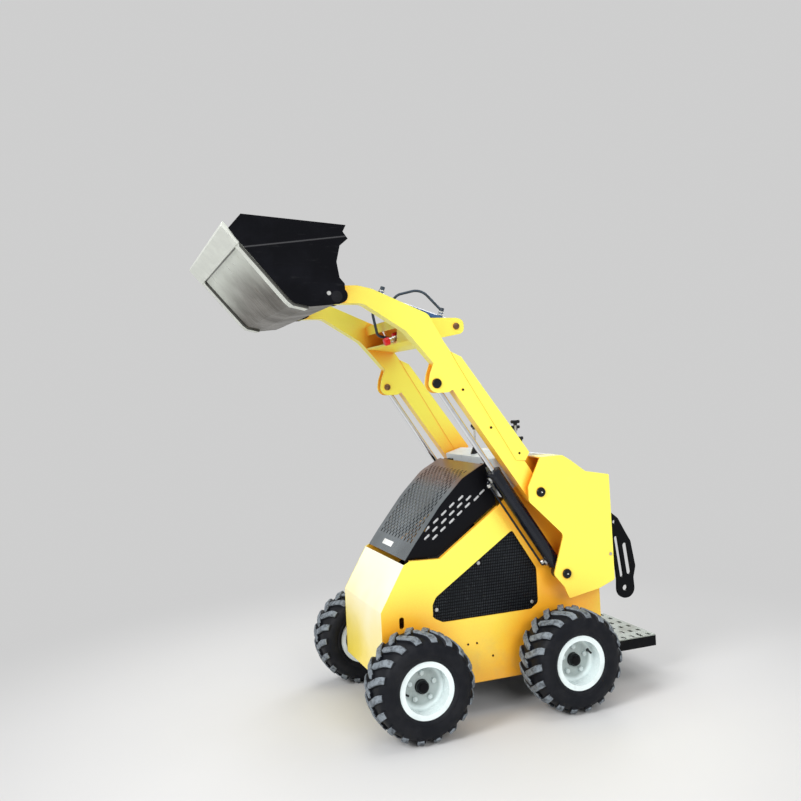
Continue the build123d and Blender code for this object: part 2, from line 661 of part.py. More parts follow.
def tilt_cylinder():
    place = cylinder_axis(TILT_BASE_PIN, TILT_ROD_PIN, 0.0)
    barrel = cylinder_barrel(TILT_BARREL, TILT_ROD["radius"])
    rod = cylinder_rod(TILT_ROD, TILT_BARREL["bore"], span(TILT_BASE_PIN, TILT_ROD_PIN))
    return place * barrel, place * rod


HOSE_START = 60.0
TILT_HOSES = [
    # routes from each port's elbow: x, height over the cylinder's axis, station along it
    [(0, HOSE_START, 77), (-15, 130, 205), (HOSE_X, 60, 320), (HOSE_X, -100, 300)],
    [(0, HOSE_START, 397), (HOSE_X, HOSE_START, 397), (HOSE_X, -60, 397), (HOSE_X, -155, 342),
     (HOSE_X, -146, 284)],
]
HOSE_BENDS = [[80.0, 55.0], [30.0, 40.0, 30.0]]
ELBOW_RADIUS = 11.0
ELBOW_TOP = 72.0


def tilt_hoses():
    """Two hoses from the tilt cylinder's ports, over and beside it, into the cross member."""
    place = cylinder_axis(TILT_BASE_PIN, TILT_ROD_PIN, 0.0)
    hoses = []
    riser = TILT_BARREL["riser"]
    for route, bends, station in zip(TILT_HOSES, HOSE_BENDS, TILT_BARREL["ports"]):
        elbow = Rot(90, 0, 0) * Cylinder(ELBOW_RADIUS, ELBOW_TOP - riser)
        elbow = Pos(0, (riser + ELBOW_TOP) / 2, station) * elbow
        hoses.append(place * (elbow + tube_run(route, HOSE_RADIUS, bends)))
    return hoses


# ---------------------------------------------------------------- bucket
BUCKET_PROFILE = [
    (-1131.0, 2152.0), (-880.0, 1853.0), (-862.0, 1838.0), (-800.0, 1823.0), (-702.0, 1830.0),
    (BUCKET_BACK_Y, 1850.0), (BUCKET_BACK_Y, 2067.0), (-645.0, 2149.0),
]
BUCKET_SIDE_FRONT = [(-1084, 2096), (-1107, 2130), (-1059, 2185)]
BUCKET_SIDE_REAR = [
    (-640, 2151), (-654, 2124), (-634, 2096), (-669, 2067), (-685, 2002), (-675, 1938),
    (-655, 1914), (-654, 1849),
]
WEAR_STRIP_X = (500.0, 568.0)
WEAR_STRIP_THICKNESS = 10.0
WEAR_STRIP_TAIL = 60.0


def bucket_shell():
    """Floor, heel, bottom and back folded from one plate."""
    return side_plate(ribbon(BUCKET_PROFILE, BUCKET_PLATE), -BUCKET_HALF_WIDTH, BUCKET_HALF_WIDTH)


def bucket_side():
    """Left side plate, its front corner standing past the floor's edge."""
    outline = [*BUCKET_SIDE_FRONT, *BUCKET_SIDE_REAR, *BUCKET_PROFILE[4:0:-1]]
    return side_plate(outline, BUCKET_HALF_WIDTH, BUCKET_HALF_WIDTH + BUCKET_SIDE_THICKNESS)


FLOOR_LENGTH = span(BUCKET_PROFILE[1], BUCKET_PROFILE[0])


def cutting_edge():
    """Bevelled bar under the floor's front."""
    back, thickness, bevel = FLOOR_LENGTH - CUTTING_EDGE_DEPTH, 12.0, 10.0
    section = [(back, 0), (back, thickness), (FLOOR_LENGTH - bevel, thickness), (FLOOR_LENGTH, 0)]
    face = along(BUCKET_PROFILE[1], BUCKET_PROFILE[0]) * make_face(Polyline(*section, close=True))
    return extrude(face, amount=BUCKET_HALF_WIDTH, both=True)


def between(a, b, distance):
    """The point at a distance from a towards b."""
    return tuple(p + (q - p) * distance / span(a, b) for p, q in zip(a, b))


def wear_strip():
    """Strip on the floor's outer face, from the cutting edge round the heel."""
    tip, heel, bend, bottom = BUCKET_PROFILE[:4]
    front = between(tip, heel, CUTTING_EDGE_DEPTH)
    path = [between(bend, bottom, WEAR_STRIP_TAIL), bend, heel, front]
    return side_plate(ribbon(path, WEAR_STRIP_THICKNESS), *WEAR_STRIP_X)


BACK_PLATE_Y = (BUCKET_BACK_Y, BUCKET_BACK_Y + 12.0)
BACK_PLATE_Z = (1852.0, 2060.0)
BACK_PLATE_HALF_WIDTH = 410.0
LUG_SHAPE = [
    # y, z, corner radius
    (BACK_PLATE_Y[1], 1852, 3), (-623, 1855, 20), (-587, 1870, 30), (-587, 1912, 30),
    (-623, 1927, 20), (BACK_PLATE_Y[1], 1990, 3),
]
TILT_LUG_SHAPE = [
    (BACK_PLATE_Y[1], 1900, 3), (-560, 1950, 20), (-530, 1970, 20), (-530, 2030, 20),
    (-600, 2045, 20), (BACK_PLATE_Y[1], 2060, 3),
]
BUCKET_LUG_THICKNESS = 10.0
BUCKET_LUG_GAP = 4.0


def bucket_back_plate():
    """Mounting plate on the bucket's back."""
    return box((-BACK_PLATE_HALF_WIDTH, BACK_PLATE_HALF_WIDTH), BACK_PLATE_Y, BACK_PLATE_Z)


TILT_LUG_X = 26.0


def bucket_lugs():
    """Two lugs beside the tilt rod's eye, and two bored ones beside each arm tip."""
    lugs = pair(rounded_plate(TILT_LUG_SHAPE, TILT_LUG_X, TILT_LUG_X + BUCKET_LUG_THICKNESS))
    for x in (ARM_X[0] - BUCKET_LUG_GAP - BUCKET_LUG_THICKNESS, ARM_X[1] + BUCKET_LUG_GAP):
        lug = rounded_plate(LUG_SHAPE, x, x + BUCKET_LUG_THICKNESS)
        hole = bar(BUCKET_PIVOT, CYLINDER_PIN_RADIUS, x - 1, x + BUCKET_LUG_THICKNESS + 1)
        lugs += pair(lug - hole)
    return lugs


def bucket_pins():
    """Headed pins through the arm tips, and the cap ends of the tilt rod's pin."""
    end = ARM_X[1] + BUCKET_LUG_GAP + BUCKET_LUG_THICKNESS
    start = ARM_X[0] - BUCKET_LUG_GAP - BUCKET_LUG_THICKNESS
    pin = bar(BUCKET_PIVOT, CYLINDER_PIN_RADIUS, start, end)
    pin += pin_head(BUCKET_PIVOT, PIN_HEAD_RADIUS, end, end + PIN_HEAD_LENGTH)
    cap_x = TILT_LUG_X + BUCKET_LUG_THICKNESS
    return pair(pin) + pair(pin_head(TILT_ROD_PIN, PIN_CAP_RADIUS, cap_x, cap_x + PIN_CAP_LENGTH))


# ---------------------------------------------------------------- write out
def pieces():
    lift_barrel, lift_rod = lift_cylinder()
    tilt_barrel, tilt_rod = tilt_cylinder()
    return {
        "chassis_frame": chassis_frame(), "wheel_motors": wheel_motors(),
        "engine_block": engine_block(), "nose_panel": nose_panel(),
        "side_panels": pair(side_panel()), "side_grilles": pair(side_grille()),
        "hood_screen": hood_screen(), "hood_sides": pair(hood_side()),
        "hood_hinges": pair(hood_hinges()), "console": console(),
        "control_levers": control_levers(), "arm_lock_link": arm_lock_link(),
        "platform_frame": platform_frame(), "platform_tread": platform_tread(),
        "tower_plates": pair(tower_plate()), "tower_backs": pair(tower_back()),
        "tower_pins": tower_pins(),
        "arms": pair(arm()), "hose_guards": pair(hose_guard()),
        "cross_member": cross_member(), "quick_couplers": quick_couplers(), "arm_pins": arm_pins(),
        "lift_barrel_left": lift_barrel, "lift_barrel_right": mirrored(lift_barrel),
        "lift_rod_left": lift_rod, "lift_rod_right": mirrored(lift_rod),
        "tilt_barrel": tilt_barrel, "tilt_rod": tilt_rod, "tilt_hoses": tilt_hoses(),
        "bucket_shell": bucket_shell(), "bucket_sides": pair(bucket_side()),
        "cutting_edge": cutting_edge(),
        "wear_strips": pair(wear_strip()), "bucket_back_plate": bucket_back_plate(),
        "bucket_lugs": bucket_lugs(), "bucket_pins": bucket_pins(),
        **wheel_pieces(),
    }


os.makedirs("parts", exist_ok=True)
for name, shape in pieces().items():
    solids = shape if isinstance(shape, list) else [shape]
    node = Compound([solid for piece in solids for solid in piece.solids()])
    export_step(node.moved(Location((0, FOOTPRINT_SHIFT, 0))), f"parts/{name}.step")
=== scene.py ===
"""Looks of a stand-on mini skid steer loader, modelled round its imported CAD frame.

Metres in the frame's own axes: +X is the machine's left, -Y its front (bucket end), +Z up.
Tables that say so are in millimetres from the ground point midway between the axles, and
placed() turns them into the frame's metres. Each operator makes one piece or a group of
like pieces, and main() calls them in order.
"""

import json
import math
import random

import bmesh
import bpy
from bpy.props import FloatProperty, FloatVectorProperty, IntProperty, PointerProperty
from mathutils import Matrix, Vector


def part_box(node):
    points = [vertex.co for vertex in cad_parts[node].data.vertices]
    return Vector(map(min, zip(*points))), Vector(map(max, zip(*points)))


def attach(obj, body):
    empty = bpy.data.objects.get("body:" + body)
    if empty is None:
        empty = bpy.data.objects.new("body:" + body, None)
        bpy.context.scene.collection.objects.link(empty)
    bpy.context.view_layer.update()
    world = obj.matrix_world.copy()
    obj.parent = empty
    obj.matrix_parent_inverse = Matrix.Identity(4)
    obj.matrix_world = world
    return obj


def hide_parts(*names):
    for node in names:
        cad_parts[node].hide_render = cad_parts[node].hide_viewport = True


bl_info = {
    "name": "Mini loader looks",
    "version": (1, 0, 0),
    "blender": (4, 5, 0),
    "location": "View3D > Sidebar > Mini loader",
    "description": "Tyres, screens, fittings, finishes and stage for a mini skid steer loader",
    "category": "Object",
}

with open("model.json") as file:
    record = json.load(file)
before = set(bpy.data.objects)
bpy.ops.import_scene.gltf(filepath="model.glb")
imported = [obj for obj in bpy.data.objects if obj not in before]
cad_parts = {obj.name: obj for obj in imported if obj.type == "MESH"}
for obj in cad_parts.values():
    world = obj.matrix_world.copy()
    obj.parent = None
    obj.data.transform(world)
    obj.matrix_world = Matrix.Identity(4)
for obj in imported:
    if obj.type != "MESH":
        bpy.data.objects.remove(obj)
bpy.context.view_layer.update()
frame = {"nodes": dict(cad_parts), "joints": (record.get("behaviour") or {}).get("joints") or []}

MM = 0.001
TURN = 2 * math.pi
BOTH_SIDES = (1, -1)
ACROSS = Vector((1, 0, 0))
JOINTS = {joint["name"]: joint for joint in frame["joints"]}
WHEELS = {
    name[len("wheel_"):-len("_spin")]: Vector(joint["pos_m"])
    for name, joint in JOINTS.items() if joint.get("continuous")
}
AXLES_Y = sum(centre.y for centre in WHEELS.values()) / len(WHEELS)
HOOD_HINGE = Vector(JOINTS["hood_hinge"]["pos_m"])
TILT_BASE = Vector(JOINTS["tilt_cylinder_swing"]["pos_m"])
HALF_WHEELBASE = abs(WHEELS["rear_left"].y - AXLES_Y)
TYRE_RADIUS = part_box("tyre_front_left")[1].z / 2
PANEL_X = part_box("side_panels")[1].x
TOWER_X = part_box("tower_plates")[1].x
ARM_X = (310 * MM, 370 * MM)


def placed(x, y, z):
    """A point given in millimetres from the ground midway between the axles."""
    return Vector((x * MM, y * MM + AXLES_Y, z * MM))


# ------------------------------------------------------------------ shader helpers
class Value:
    """A node's output; arithmetic on it adds Math nodes to its finish."""

    def __init__(self, finish, socket):
        self.finish = finish
        self.socket = socket

    def _math(self, operation, first, second):
        return self.finish.node("ShaderNodeMath", {"operation": operation}, {0: first, 1: second})

    def __add__(self, other):
        return self._math("ADD", self, other)

    def __sub__(self, other):
        return self._math("SUBTRACT", self, other)

    def __rsub__(self, other):
        return self._math("SUBTRACT", other, self)

    def __mul__(self, other):
        return self._math("MULTIPLY", self, other)

    def __pow__(self, other):
        return self._math("POWER", self, other)

    def __abs__(self):
        return self.finish.node("ShaderNodeMath", {"operation": "ABSOLUTE"}, {0: self})

    __radd__ = __add__
    __rmul__ = __mul__


def opaque(colour):
    """A colour socket's four numbers from three."""
    return (*colour[:3], 1.0)


def scaled(colour, factor):
    """A colour made lighter or darker, kept within range."""
    return tuple(min(1.0, part * factor) for part in colour[:3])


MIX_FACTOR, MIX_FIRST, MIX_SECOND, MIX_RESULT = 0, 6, 7, 2
FLAT_FACE, SHARP_EDGE = 0.985, 0.86


class Finish:
    """One procedural material, or a world's nodes if the world is given."""

    def __init__(self, name, world=None):
        self.material = world or bpy.data.materials.new(name)
        self.material.use_nodes = True
        self.tree = self.material.node_tree
        self.tree.nodes.clear()

    def node(self, kind, settings=None, inputs=None, output=0):
        """Adds a node: its settings first, then its sockets' values or links. Returns one output."""
        node = self.tree.nodes.new(kind)
        for name, value in (settings or {}).items():
            setattr(node, name, value)
        for key, value in (inputs or {}).items():
            if isinstance(value, Value):
                self.tree.links.new(value.socket, node.inputs[key])
            else:
                node.inputs[key].default_value = value
        return Value(self, node.outputs[output]) if node.outputs else None

    def point(self, stretch=(1, 1, 1)):
        """Object coordinates, squeezed by a factor along each axis."""
        coordinates = self.node("ShaderNodeTexCoord", output="Object")
        return self.node("ShaderNodeMapping", inputs={"Vector": coordinates, "Scale": stretch})

    def coordinate(self, axis):
        """Where a point is at rest along X, Y or Z, in metres."""
        coordinates = self.node("ShaderNodeTexCoord", output="Object")
        return self.node("ShaderNodeSeparateXYZ", inputs={"Vector": coordinates}, output=axis)

    def distance(self, y, z):
        """How far a point is at rest from a line across the machine."""
        off_y, off_z = self.coordinate("Y") - y, self.coordinate("Z") - z
        return (off_y * off_y + off_z * off_z) ** 0.5

    def from_axle(self):
        """How far a point is from the nearer axle, which serves all four wheels."""
        off_y = abs(self.coordinate("Y") - AXLES_Y) - HALF_WHEELBASE
        off_z = self.coordinate("Z") - TYRE_RADIUS
        return (off_y * off_y + off_z * off_z) ** 0.5

    def noise(self, scale, detail=2.0, roughness=0.5, stretch=(1, 1, 1)):
        """Soft noise through the object, finer with a larger scale."""
        place = self.point(stretch)
        inputs = {"Vector": place, "Scale": scale, "Detail": detail, "Roughness": roughness}
        return self.node("ShaderNodeTexNoise", inputs=inputs)

    def ramp(self, value, low, high):
        """0 below low, 1 above high, smooth between; low may be the larger."""
        settings = {"interpolation_type": "SMOOTHSTEP", "clamp": True}
        inputs = {"Value": value, "From Min": low, "From Max": high}
        return self.node("ShaderNodeMapRange", settings, inputs)

    def mix(self, factor, first, second):
        """A colour between two."""
        first, second = (end if isinstance(end, Value) else opaque(end) for end in (first, second))
        inputs = {MIX_FACTOR: factor, MIX_FIRST: first, MIX_SECOND: second}
        return self.node("ShaderNodeMix", {"data_type": "RGBA"}, inputs, output=MIX_RESULT)

    def rounded(self, radius):
        """The surface's normal with its edges rounded over."""
        return self.node("ShaderNodeBevel", {"samples": 4}, {"Radius": radius})

    def edges(self, rounded):
        """0 on flat faces, rising to 1 on edges, from a rounded normal."""
        normal = self.node("ShaderNodeNewGeometry", output="Normal")
        inputs = {0: rounded, 1: normal}
        alike = self.node("ShaderNodeVectorMath", {"operation": "DOT_PRODUCT"}, inputs, output="Value")
        return self.ramp(alike, FLAT_FACE, SHARP_EDGE)

    def bump(self, height, distance, strength=1.0, normal=None):
        """A relief of a height, over the surface's own normal or the one given."""
        inputs = {"Height": height, "Distance": distance, "Strength": strength}
        if normal:
            inputs["Normal"] = normal
        return self.node("ShaderNodeBump", inputs=inputs)

    def surface(self, **sockets):
        """Joins a Principled shader to the output; sockets' names use _ for a space."""
        inputs = {name.replace("_", " "): value for name, value in sockets.items()}
        if not isinstance(inputs["Base Color"], Value):
            inputs["Base Color"] = opaque(inputs["Base Color"])
        shader = self.node("ShaderNodeBsdfPrincipled", inputs=inputs)
        self.node("ShaderNodeOutputMaterial", inputs={"Surface": shader})
        return self.material


# ------------------------------------------------------------------ finishes
DUST = (0.36, 0.31, 0.24)
BARE_METAL = (0.42, 0.41, 0.39)
PRIMER = (0.16, 0.14, 0.12)


def sprayed(name, low, high, recess, dusting, chips, **gloss):
    """Sprayed enamel between two tones, the lower one painted shade near the ground, and darker in
    recesses as painted shade from occlusion: drift in shade, orange-peel ripple, dust near the ground and
    chipped edges."""
    f = Finish(name)
    rounded = f.rounded(1.6 * MM)
    height = f.coordinate("Z")
    drift = f.ramp(f.noise(1.9, 3.0), 0.3, 0.7)
    grime = f.noise(13.0, 6.0, 0.62)
    splashed = f.ramp(height, 0.55, 0.05) * f.ramp(grime, 0.42, 0.75)
    dust = (splashed * 0.3 + f.ramp(grime, 0.6, 0.85) * 0.08) * dusting
    chipped = f.edges(rounded) * f.ramp(f.noise(75.0, 5.0, 0.7), 0.56, 0.62) * chips
    # Painted shade: ambient occlusion darkens the tone in corners, undersides and between parts.
    opened = f.node("ShaderNodeAmbientOcclusion", {"samples": 8}, {"Distance": 0.28}, output="AO")
    # Painted shade: the low tone near the ground rises to the high tone up top, as the light falls.
    shade = f.mix(f.ramp(height + drift * 0.14, *gloss["heights"]), low, high)
    deeper = f.mix(f.ramp(opened, 0.98, 0.52), shade, recess)
    worn = f.mix(chipped, f.mix(dust, deeper, DUST), PRIMER)
    ripple = f.noise(190.0, 2.0) * 0.6 + f.noise(260.0, 3.0, 0.6) * 0.15
    return f.surface(
        Base_Color=worn,
        Roughness=f.ramp(grime, 0.25, 0.8) * 0.14 + dust * 0.35 + chipped * 0.2 + gloss["roughness"],
        Specular_IOR_Level=gloss["shine"],
        Normal=f.bump(ripple, 0.25 * MM, 0.35, rounded),
        Coat_Weight=gloss["coat"],
        Coat_Roughness=0.12,
    )


def yellow_enamel(colours):
    """The machine's yellow, with painted shade darker near the ground and in recesses."""
    return sprayed(
        "yellow_enamel", colours.yellow_low_shade, colours.yellow, colours.yellow_recess_shade, 0.6, 0.5,
        heights=(0.2, 0.9), roughness=0.3, shine=0.5, coat=0.3,
    )


def nose_enamel(colours):
    """The machine's yellow, paling to a painted highlight towards the top of its nose."""
    return sprayed(
        "nose_enamel", colours.yellow_low_shade, colours.nose, colours.yellow_low_shade, 0.4, 0.5,
        heights=(0.26, 0.72), roughness=0.3, shine=0.5, coat=0.3,
    )


def black_enamel(colours):
    """Satin black of the frame, step, grilles and caps."""
    # Painted shade: a touch lighter higher up, the same low-to-high shading as the yellow's.
    return sprayed(
        "black_enamel", colours.black, scaled(colours.black, 1.4), colours.black, 0.08, 0.04,
        heights=(0.2, 0.9), roughness=0.34, shine=0.1, coat=0.02,
    )


CREASE = [placed(0, -1036, 2058), placed(0, -656, 2104)]
FLUSH_STUD, STUD_EDGE = placed(0, -722, 1876), (9 * MM, 7.5 * MM)
SIDE_BOSS, BOSS_EDGE, BOSS_CROWN = placed(0, -690, 1862), (24 * MM, 22 * MM), 2 * MM


def side_enamel(colours):
    """Black enamel of the bucket's sides, with the pressed crease lightened along it as a painted highlight,
    and the stud ground flush in it.
    """
    f = Finish("side_enamel")
    rounded = f.rounded(2.0 * MM)
    start, end = CREASE
    slope = (end.z - start.z) / (end.y - start.y)
    off_line = abs(f.coordinate("Z") - start.z - (f.coordinate("Y") - start.y) * slope)
    crease = f.ramp(off_line, 4.5 * MM, 0.5 * MM)
    stud = f.ramp(f.distance(FLUSH_STUD.y, FLUSH_STUD.z), *STUD_EDGE)
    from_boss = f.distance(SIDE_BOSS.y, SIDE_BOSS.z)
    boss = f.ramp(from_boss, *BOSS_EDGE)
    dome = f.ramp(from_boss, BOSS_EDGE[0], BOSS_CROWN)
    film = f.ramp(f.noise(7.0, 6.0, 0.62), 0.42, 0.75)
    scratch = f.ramp(f.noise(11.0, 5.0, 0.7, stretch=(1, 1, 9)), 0.6, 0.72)
    shade = f.mix(film, colours.black, scaled(colours.black, 1.8))
    # A painted highlight along the crease and real scratches, both lightening the black.
    scratched_and_lit_crease = f.mix(crease * 0.5 + scratch * 0.08, shade, (0.10, 0.10, 0.105))
    relief = crease + f.noise(180.0, 2.0) * 0.12 + stud * 0.4 + dome * 5.0
    return f.surface(
        Base_Color=f.mix(stud, scratched_and_lit_crease, colours.zinc),
        Metallic=stud * 0.9,
        Roughness=film * 0.12 + 0.36 - boss * 0.22,
        Specular_IOR_Level=0.06,
        Normal=f.bump(relief, 1.2 * MM, 0.6, rounded),
        Coat_Weight=boss * 0.5 + 0.03,
    )


def pin_gloss(colours):
    """Pins and their heads: black and glossy outside the arms, brown bare steel between them."""
    f = Finish("pin_gloss")
    between = f.ramp(abs(f.coordinate("X")), ARM_X[0] + 4 * MM, ARM_X[0] + 1 * MM)
    rubbed = f.ramp(f.noise(60.0, 4.0, 0.6), 0.4, 0.7)
    bare = f.mix(rubbed, (0.13, 0.065, 0.035), (0.30, 0.17, 0.09))
    painted = f.mix(rubbed * 0.5, colours.black, scaled(colours.black, 2.2))
    return f.surface(
        Base_Color=f.mix(between, painted, bare),
        Metallic=between * 0.3,
        Roughness=between * 0.25 + rubbed * 0.08 + 0.16,
        Specular_IOR_Level=0.25,
        Normal=f.bump(f.noise(320.0, 2.0), 0.06 * MM, 0.3, f.rounded(4 * MM)),
        Coat_Weight=0.2,
    )


NUTS_FROM = (38 * MM, 42 * MM)
# Radii from the axle over which painted shade darkens the dished disc.
DISC_WITHIN = (92 * MM, 72 * MM)


def hub_enamel(colours):
    """Black hub whose wheel nuts are in the rim's pale paint."""
    f = Finish("hub_enamel")
    nuts = f.ramp(f.from_axle(), *NUTS_FROM)
    film = f.ramp(f.noise(30.0, 5.0, 0.6), 0.42, 0.75)
    pale = f.mix(film * 0.5, scaled(colours.rim, 0.75), (0.30, 0.30, 0.28))
    centre = f.mix(film * 0.3, colours.black, scaled(colours.black, 2.5))
    return f.surface(
        Base_Color=f.mix(nuts, centre, pale),
        Roughness=film * 0.2 + 0.3,
        Specular_IOR_Level=0.3,
        Normal=f.bump(f.noise(210.0, 2.0), 0.15 * MM, 0.3, f.rounded(1.2 * MM)),
    )


def rim_enamel(colours):
    """Wheel paint, with grey road film in broad patches, and painted shade darkening the dished disc."""
    f = Finish("rim_enamel")
    rounded = f.rounded(1.2 * MM)
    film = f.ramp(f.noise(22.0, 6.0, 0.6), 0.40, 0.78)
    chipped = f.edges(rounded) * f.ramp(f.noise(90.0, 4.0, 0.7), 0.55, 0.62)
    # Painted shade: the dished disc darkens towards the axle, mixed in with the road film.
    disc = f.ramp(f.from_axle(), *DISC_WITHIN)
    filmed_and_disc_shaded = f.mix(film * 0.2 + disc * 0.7, colours.rim, (0.20, 0.24, 0.23))
    return f.surface(
        Base_Color=f.mix(chipped * 0.5, filmed_and_disc_shaded, BARE_METAL),
        Roughness=film * 0.25 + 0.24,
        Normal=f.bump(f.noise(160.0, 2.0), 0.2 * MM, 0.3, rounded),
        Coat_Weight=0.3,
        Coat_Roughness=0.1,
    )


def screen_paint(colours):
    """Thin grey film on perforated steel sheet that mirrors what stands behind it at a low angle, with a
    painted warm reflection of the yellow arms at its top.
    """
    f = Finish("screen_paint")
    drift = f.ramp(f.noise(3.2, 4.0), 0.3, 0.7)
    dust = f.ramp(f.noise(38.0, 5.0, 0.65), 0.5, 0.8)
    sheen = f.ramp(f.noise(4.5, 2.0, stretch=(0.4, 1, 1)), 0.42, 0.62)
    shade = f.mix(drift, colours.screen, scaled(colours.screen, 0.55))
    # Painted reflection: a brown tint at the top end stands for the yellow arms mirrored there.
    painted_reflection_top = f.mix(f.ramp(f.coordinate("Z"), 0.99, 1.06) * 0.8, shade, (0.19, 0.08, 0.035))
    return f.surface(
        Base_Color=f.mix(dust * 0.12, painted_reflection_top, DUST),
        Metallic=0.55,
        Roughness=0.36 - sheen * 0.14 + dust * 0.12,
        Normal=f.bump(f.noise(240.0, 2.0), 0.1 * MM, 0.25),
        Coat_Weight=0.25,
        Coat_Roughness=0.1,
    )


def liner_foil(colours):
    """Pale sound-deadening foil behind the hood's slotted cheeks."""
    f = Finish("liner_foil")
    quilt = f.node("ShaderNodeTexVoronoi", inputs={"Vector": f.point(), "Scale": 55.0})
    grime = f.ramp(f.noise(24.0, 5.0, 0.6), 0.5, 0.8)
    return f.surface(
        Base_Color=f.mix(grime * 0.3, (0.90, 0.91, 0.92), (0.45, 0.44, 0.42)),
        Metallic=0.2,
        Roughness=0.4 + grime * 0.2,
        Normal=f.bump(quilt, 0.6 * MM, 0.5),
    )


def blank_label(colours):
    """Plain white plate with nothing printed on it, a little yellowed."""
    f = Finish("blank_label")
    age = f.ramp(f.noise(26.0, 4.0, 0.6), 0.4, 0.8)
    return f.surface(
        Base_Color=f.mix(age * 0.25, (0.93, 0.94, 0.93), (0.72, 0.70, 0.62)),
        Roughness=0.3 + age * 0.15,
        Normal=f.bump(f.noise(150.0, 2.0), 0.05 * MM, 0.3),
    )


EDGE_SEAM = placed(0, -1066.7, 2075.4)
HEEL = placed(0, -880, 1853)
FLOOR_OUT = ACROSS.cross(EDGE_SEAM - HEEL).normalized()
STRIP_X = (500 * MM, 568 * MM)
# Half widths over which the painted shadow beside the wear strips fades out.
SEAM_SHADOW_HALF_WIDTH = (12 * MM, 8 * MM)


def bucket_steel(colours):
    """Hot-rolled plate: brown mill scale rubbed through in streaks along the floor, with painted shadow
    along the seams beside the wear strips and the cutting edge underneath.
    """
    f = Finish("bucket_steel")
    rounded = f.rounded(1.6 * MM)
    scale_patch = f.ramp(f.noise(5.0, 7.0, 0.62), 0.34, 0.66)
    polished = f.ramp(f.coordinate("Z") + f.noise(2.6, 3.0) * 0.22, 1.97, 2.17)
    streaks = f.ramp(f.noise(9.0, 5.0, 0.7, stretch=(14, 1, 1)), 0.42, 0.66)
    rust = f.ramp(f.noise(27.0, 6.0, 0.7), 0.58, 0.74)
    scaly = f.mix(scale_patch, colours.plate_steel, scaled(colours.plate_steel, 0.6))
    plate = f.mix(polished, scaly, colours.polished_steel)
    rubbed = f.mix(streaks * 0.14, plate, scaled(colours.polished_steel, 0.8))
    rusty = f.mix(rust * 0.25, rubbed, (0.16, 0.09, 0.05))
    # Painted shadow: dark bands on the underside beside the wear strips and along the cutting edge.
    beside_strip = abs(abs(f.coordinate("X")) - STRIP_X[0] + 10 * MM)
    outward = f.coordinate("Y") * FLOOR_OUT.y + f.coordinate("Z") * FLOOR_OUT.z
    underside = f.ramp(outward - EDGE_SEAM.dot(FLOOR_OUT), -3.5 * MM, -1.5 * MM)
    beside_edge = f.ramp(f.distance(EDGE_SEAM.y, EDGE_SEAM.z), 9 * MM, 4 * MM)
    seam_shadow = (f.ramp(beside_strip, *SEAM_SHADOW_HALF_WIDTH) + beside_edge) * underside
    seam_shadowed = f.mix(seam_shadow * 0.9, rusty, (0.02, 0.018, 0.016))
    return f.surface(
        Base_Color=f.mix(f.edges(rounded) * 0.5, seam_shadowed, (0.62, 0.60, 0.56)),
        Metallic=0.8 - rust * 0.4 - polished * 0.25,
        Roughness=0.32 + scale_patch * 0.14 - streaks * 0.06 + rust * 0.2,
        Normal=f.bump(streaks * 0.4 + f.noise(140.0, 3.0) * 0.5, 0.25 * MM, 0.5, rounded),
    )


def edge_steel(colours):
    """Ground cutting-edge bar, pale and lightly scored, with painted shade on the wear strips' side faces.
    """
    f = Finish("edge_steel")
    rounded = f.rounded(1.5 * MM)
    scores = f.ramp(f.noise(16.0, 4.0, 0.7, stretch=(16, 1, 1)), 0.4, 0.7)
    bloom = f.ramp(f.noise(18.0, 5.0, 0.6), 0.35, 0.7)
    across = abs(f.coordinate("X"))
    # Painted shade: the wear strips' side faces turned near black.
    sides = sum((f.ramp(abs(across - x), 2.5 * MM, 1.5 * MM) for x in STRIP_X), 0.0)
    on_strips = f.ramp(f.coordinate("Y"), EDGE_SEAM.y - MM, EDGE_SEAM.y)
    ground = f.mix(bloom * 0.5, scaled(colours.edge_steel, 0.86), colours.edge_steel)
    return f.surface(
        Base_Color=f.mix(sides * on_strips * 0.9, ground, (0.03, 0.028, 0.025)),
        Metallic=0.55,
        Roughness=0.42 + bloom * 0.14,
        Normal=f.bump(scores, 0.2 * MM, 0.4, rounded),
    )


def hard_chrome(colours):
    """Polished rod with faint wiping marks along it."""
    f = Finish("hard_chrome")
    marks = f.noise(30.0, 3.0, 0.6, stretch=(30, 1, 1))
    return f.surface(
        Base_Color=f.mix(f.ramp(marks, 0.3, 0.8), colours.chrome, scaled(colours.chrome, 0.86)),
        Metallic=1.0,
        Roughness=marks * 0.10 + 0.05,
        Normal=f.bump(marks, 0.05 * MM, 0.2),
    )


def zinc_plate(colours):
    """Plated fittings and bolts, slightly clouded."""
    f = Finish("zinc_plate")
    cloud = f.ramp(f.noise(120.0, 4.0, 0.6), 0.3, 0.75)
    return f.surface(
        Base_Color=f.mix(cloud, colours.zinc, scaled(colours.zinc, 0.72)),
        Metallic=0.9,
        Roughness=cloud * 0.22 + 0.22,
        Normal=f.bump(f.noise(600.0, 2.0), 0.08 * MM, 0.3),
    )


def barrel_enamel(name, colour):
    """Deep gloss on a hydraulic barrel, hazed with oil and dust."""
    f = Finish(name)
    rounded = f.rounded(1.2 * MM)
    haze = f.ramp(f.noise(15.0, 5.0, 0.6), 0.38, 0.75)
    shade = f.mix(haze, colour, scaled(colour, 1.6))
    chipped = f.edges(rounded) * f.ramp(f.noise(80.0, 4.0, 0.7), 0.55, 0.62)
    return f.surface(
        Base_Color=f.mix(chipped * 0.3, shade, BARE_METAL),
        Roughness=haze * 0.15 + 0.2,
        Specular_IOR_Level=0.3,
        Normal=f.bump(f.noise(170.0, 2.0), 0.2 * MM, 0.35, rounded),
        Coat_Weight=0.15,
        Coat_Roughness=0.08,
    )


def cylinder_enamel(colours):
    """The lift cylinders' near-black gloss."""
    return barrel_enamel("cylinder_enamel", colours.cylinder)


def tilt_enamel(colours):
    """The tilt cylinder's gloss, dark blue as a painted reflection of the sky in its black paint."""
    return barrel_enamel("tilt_enamel", colours.tilt_cylinder)


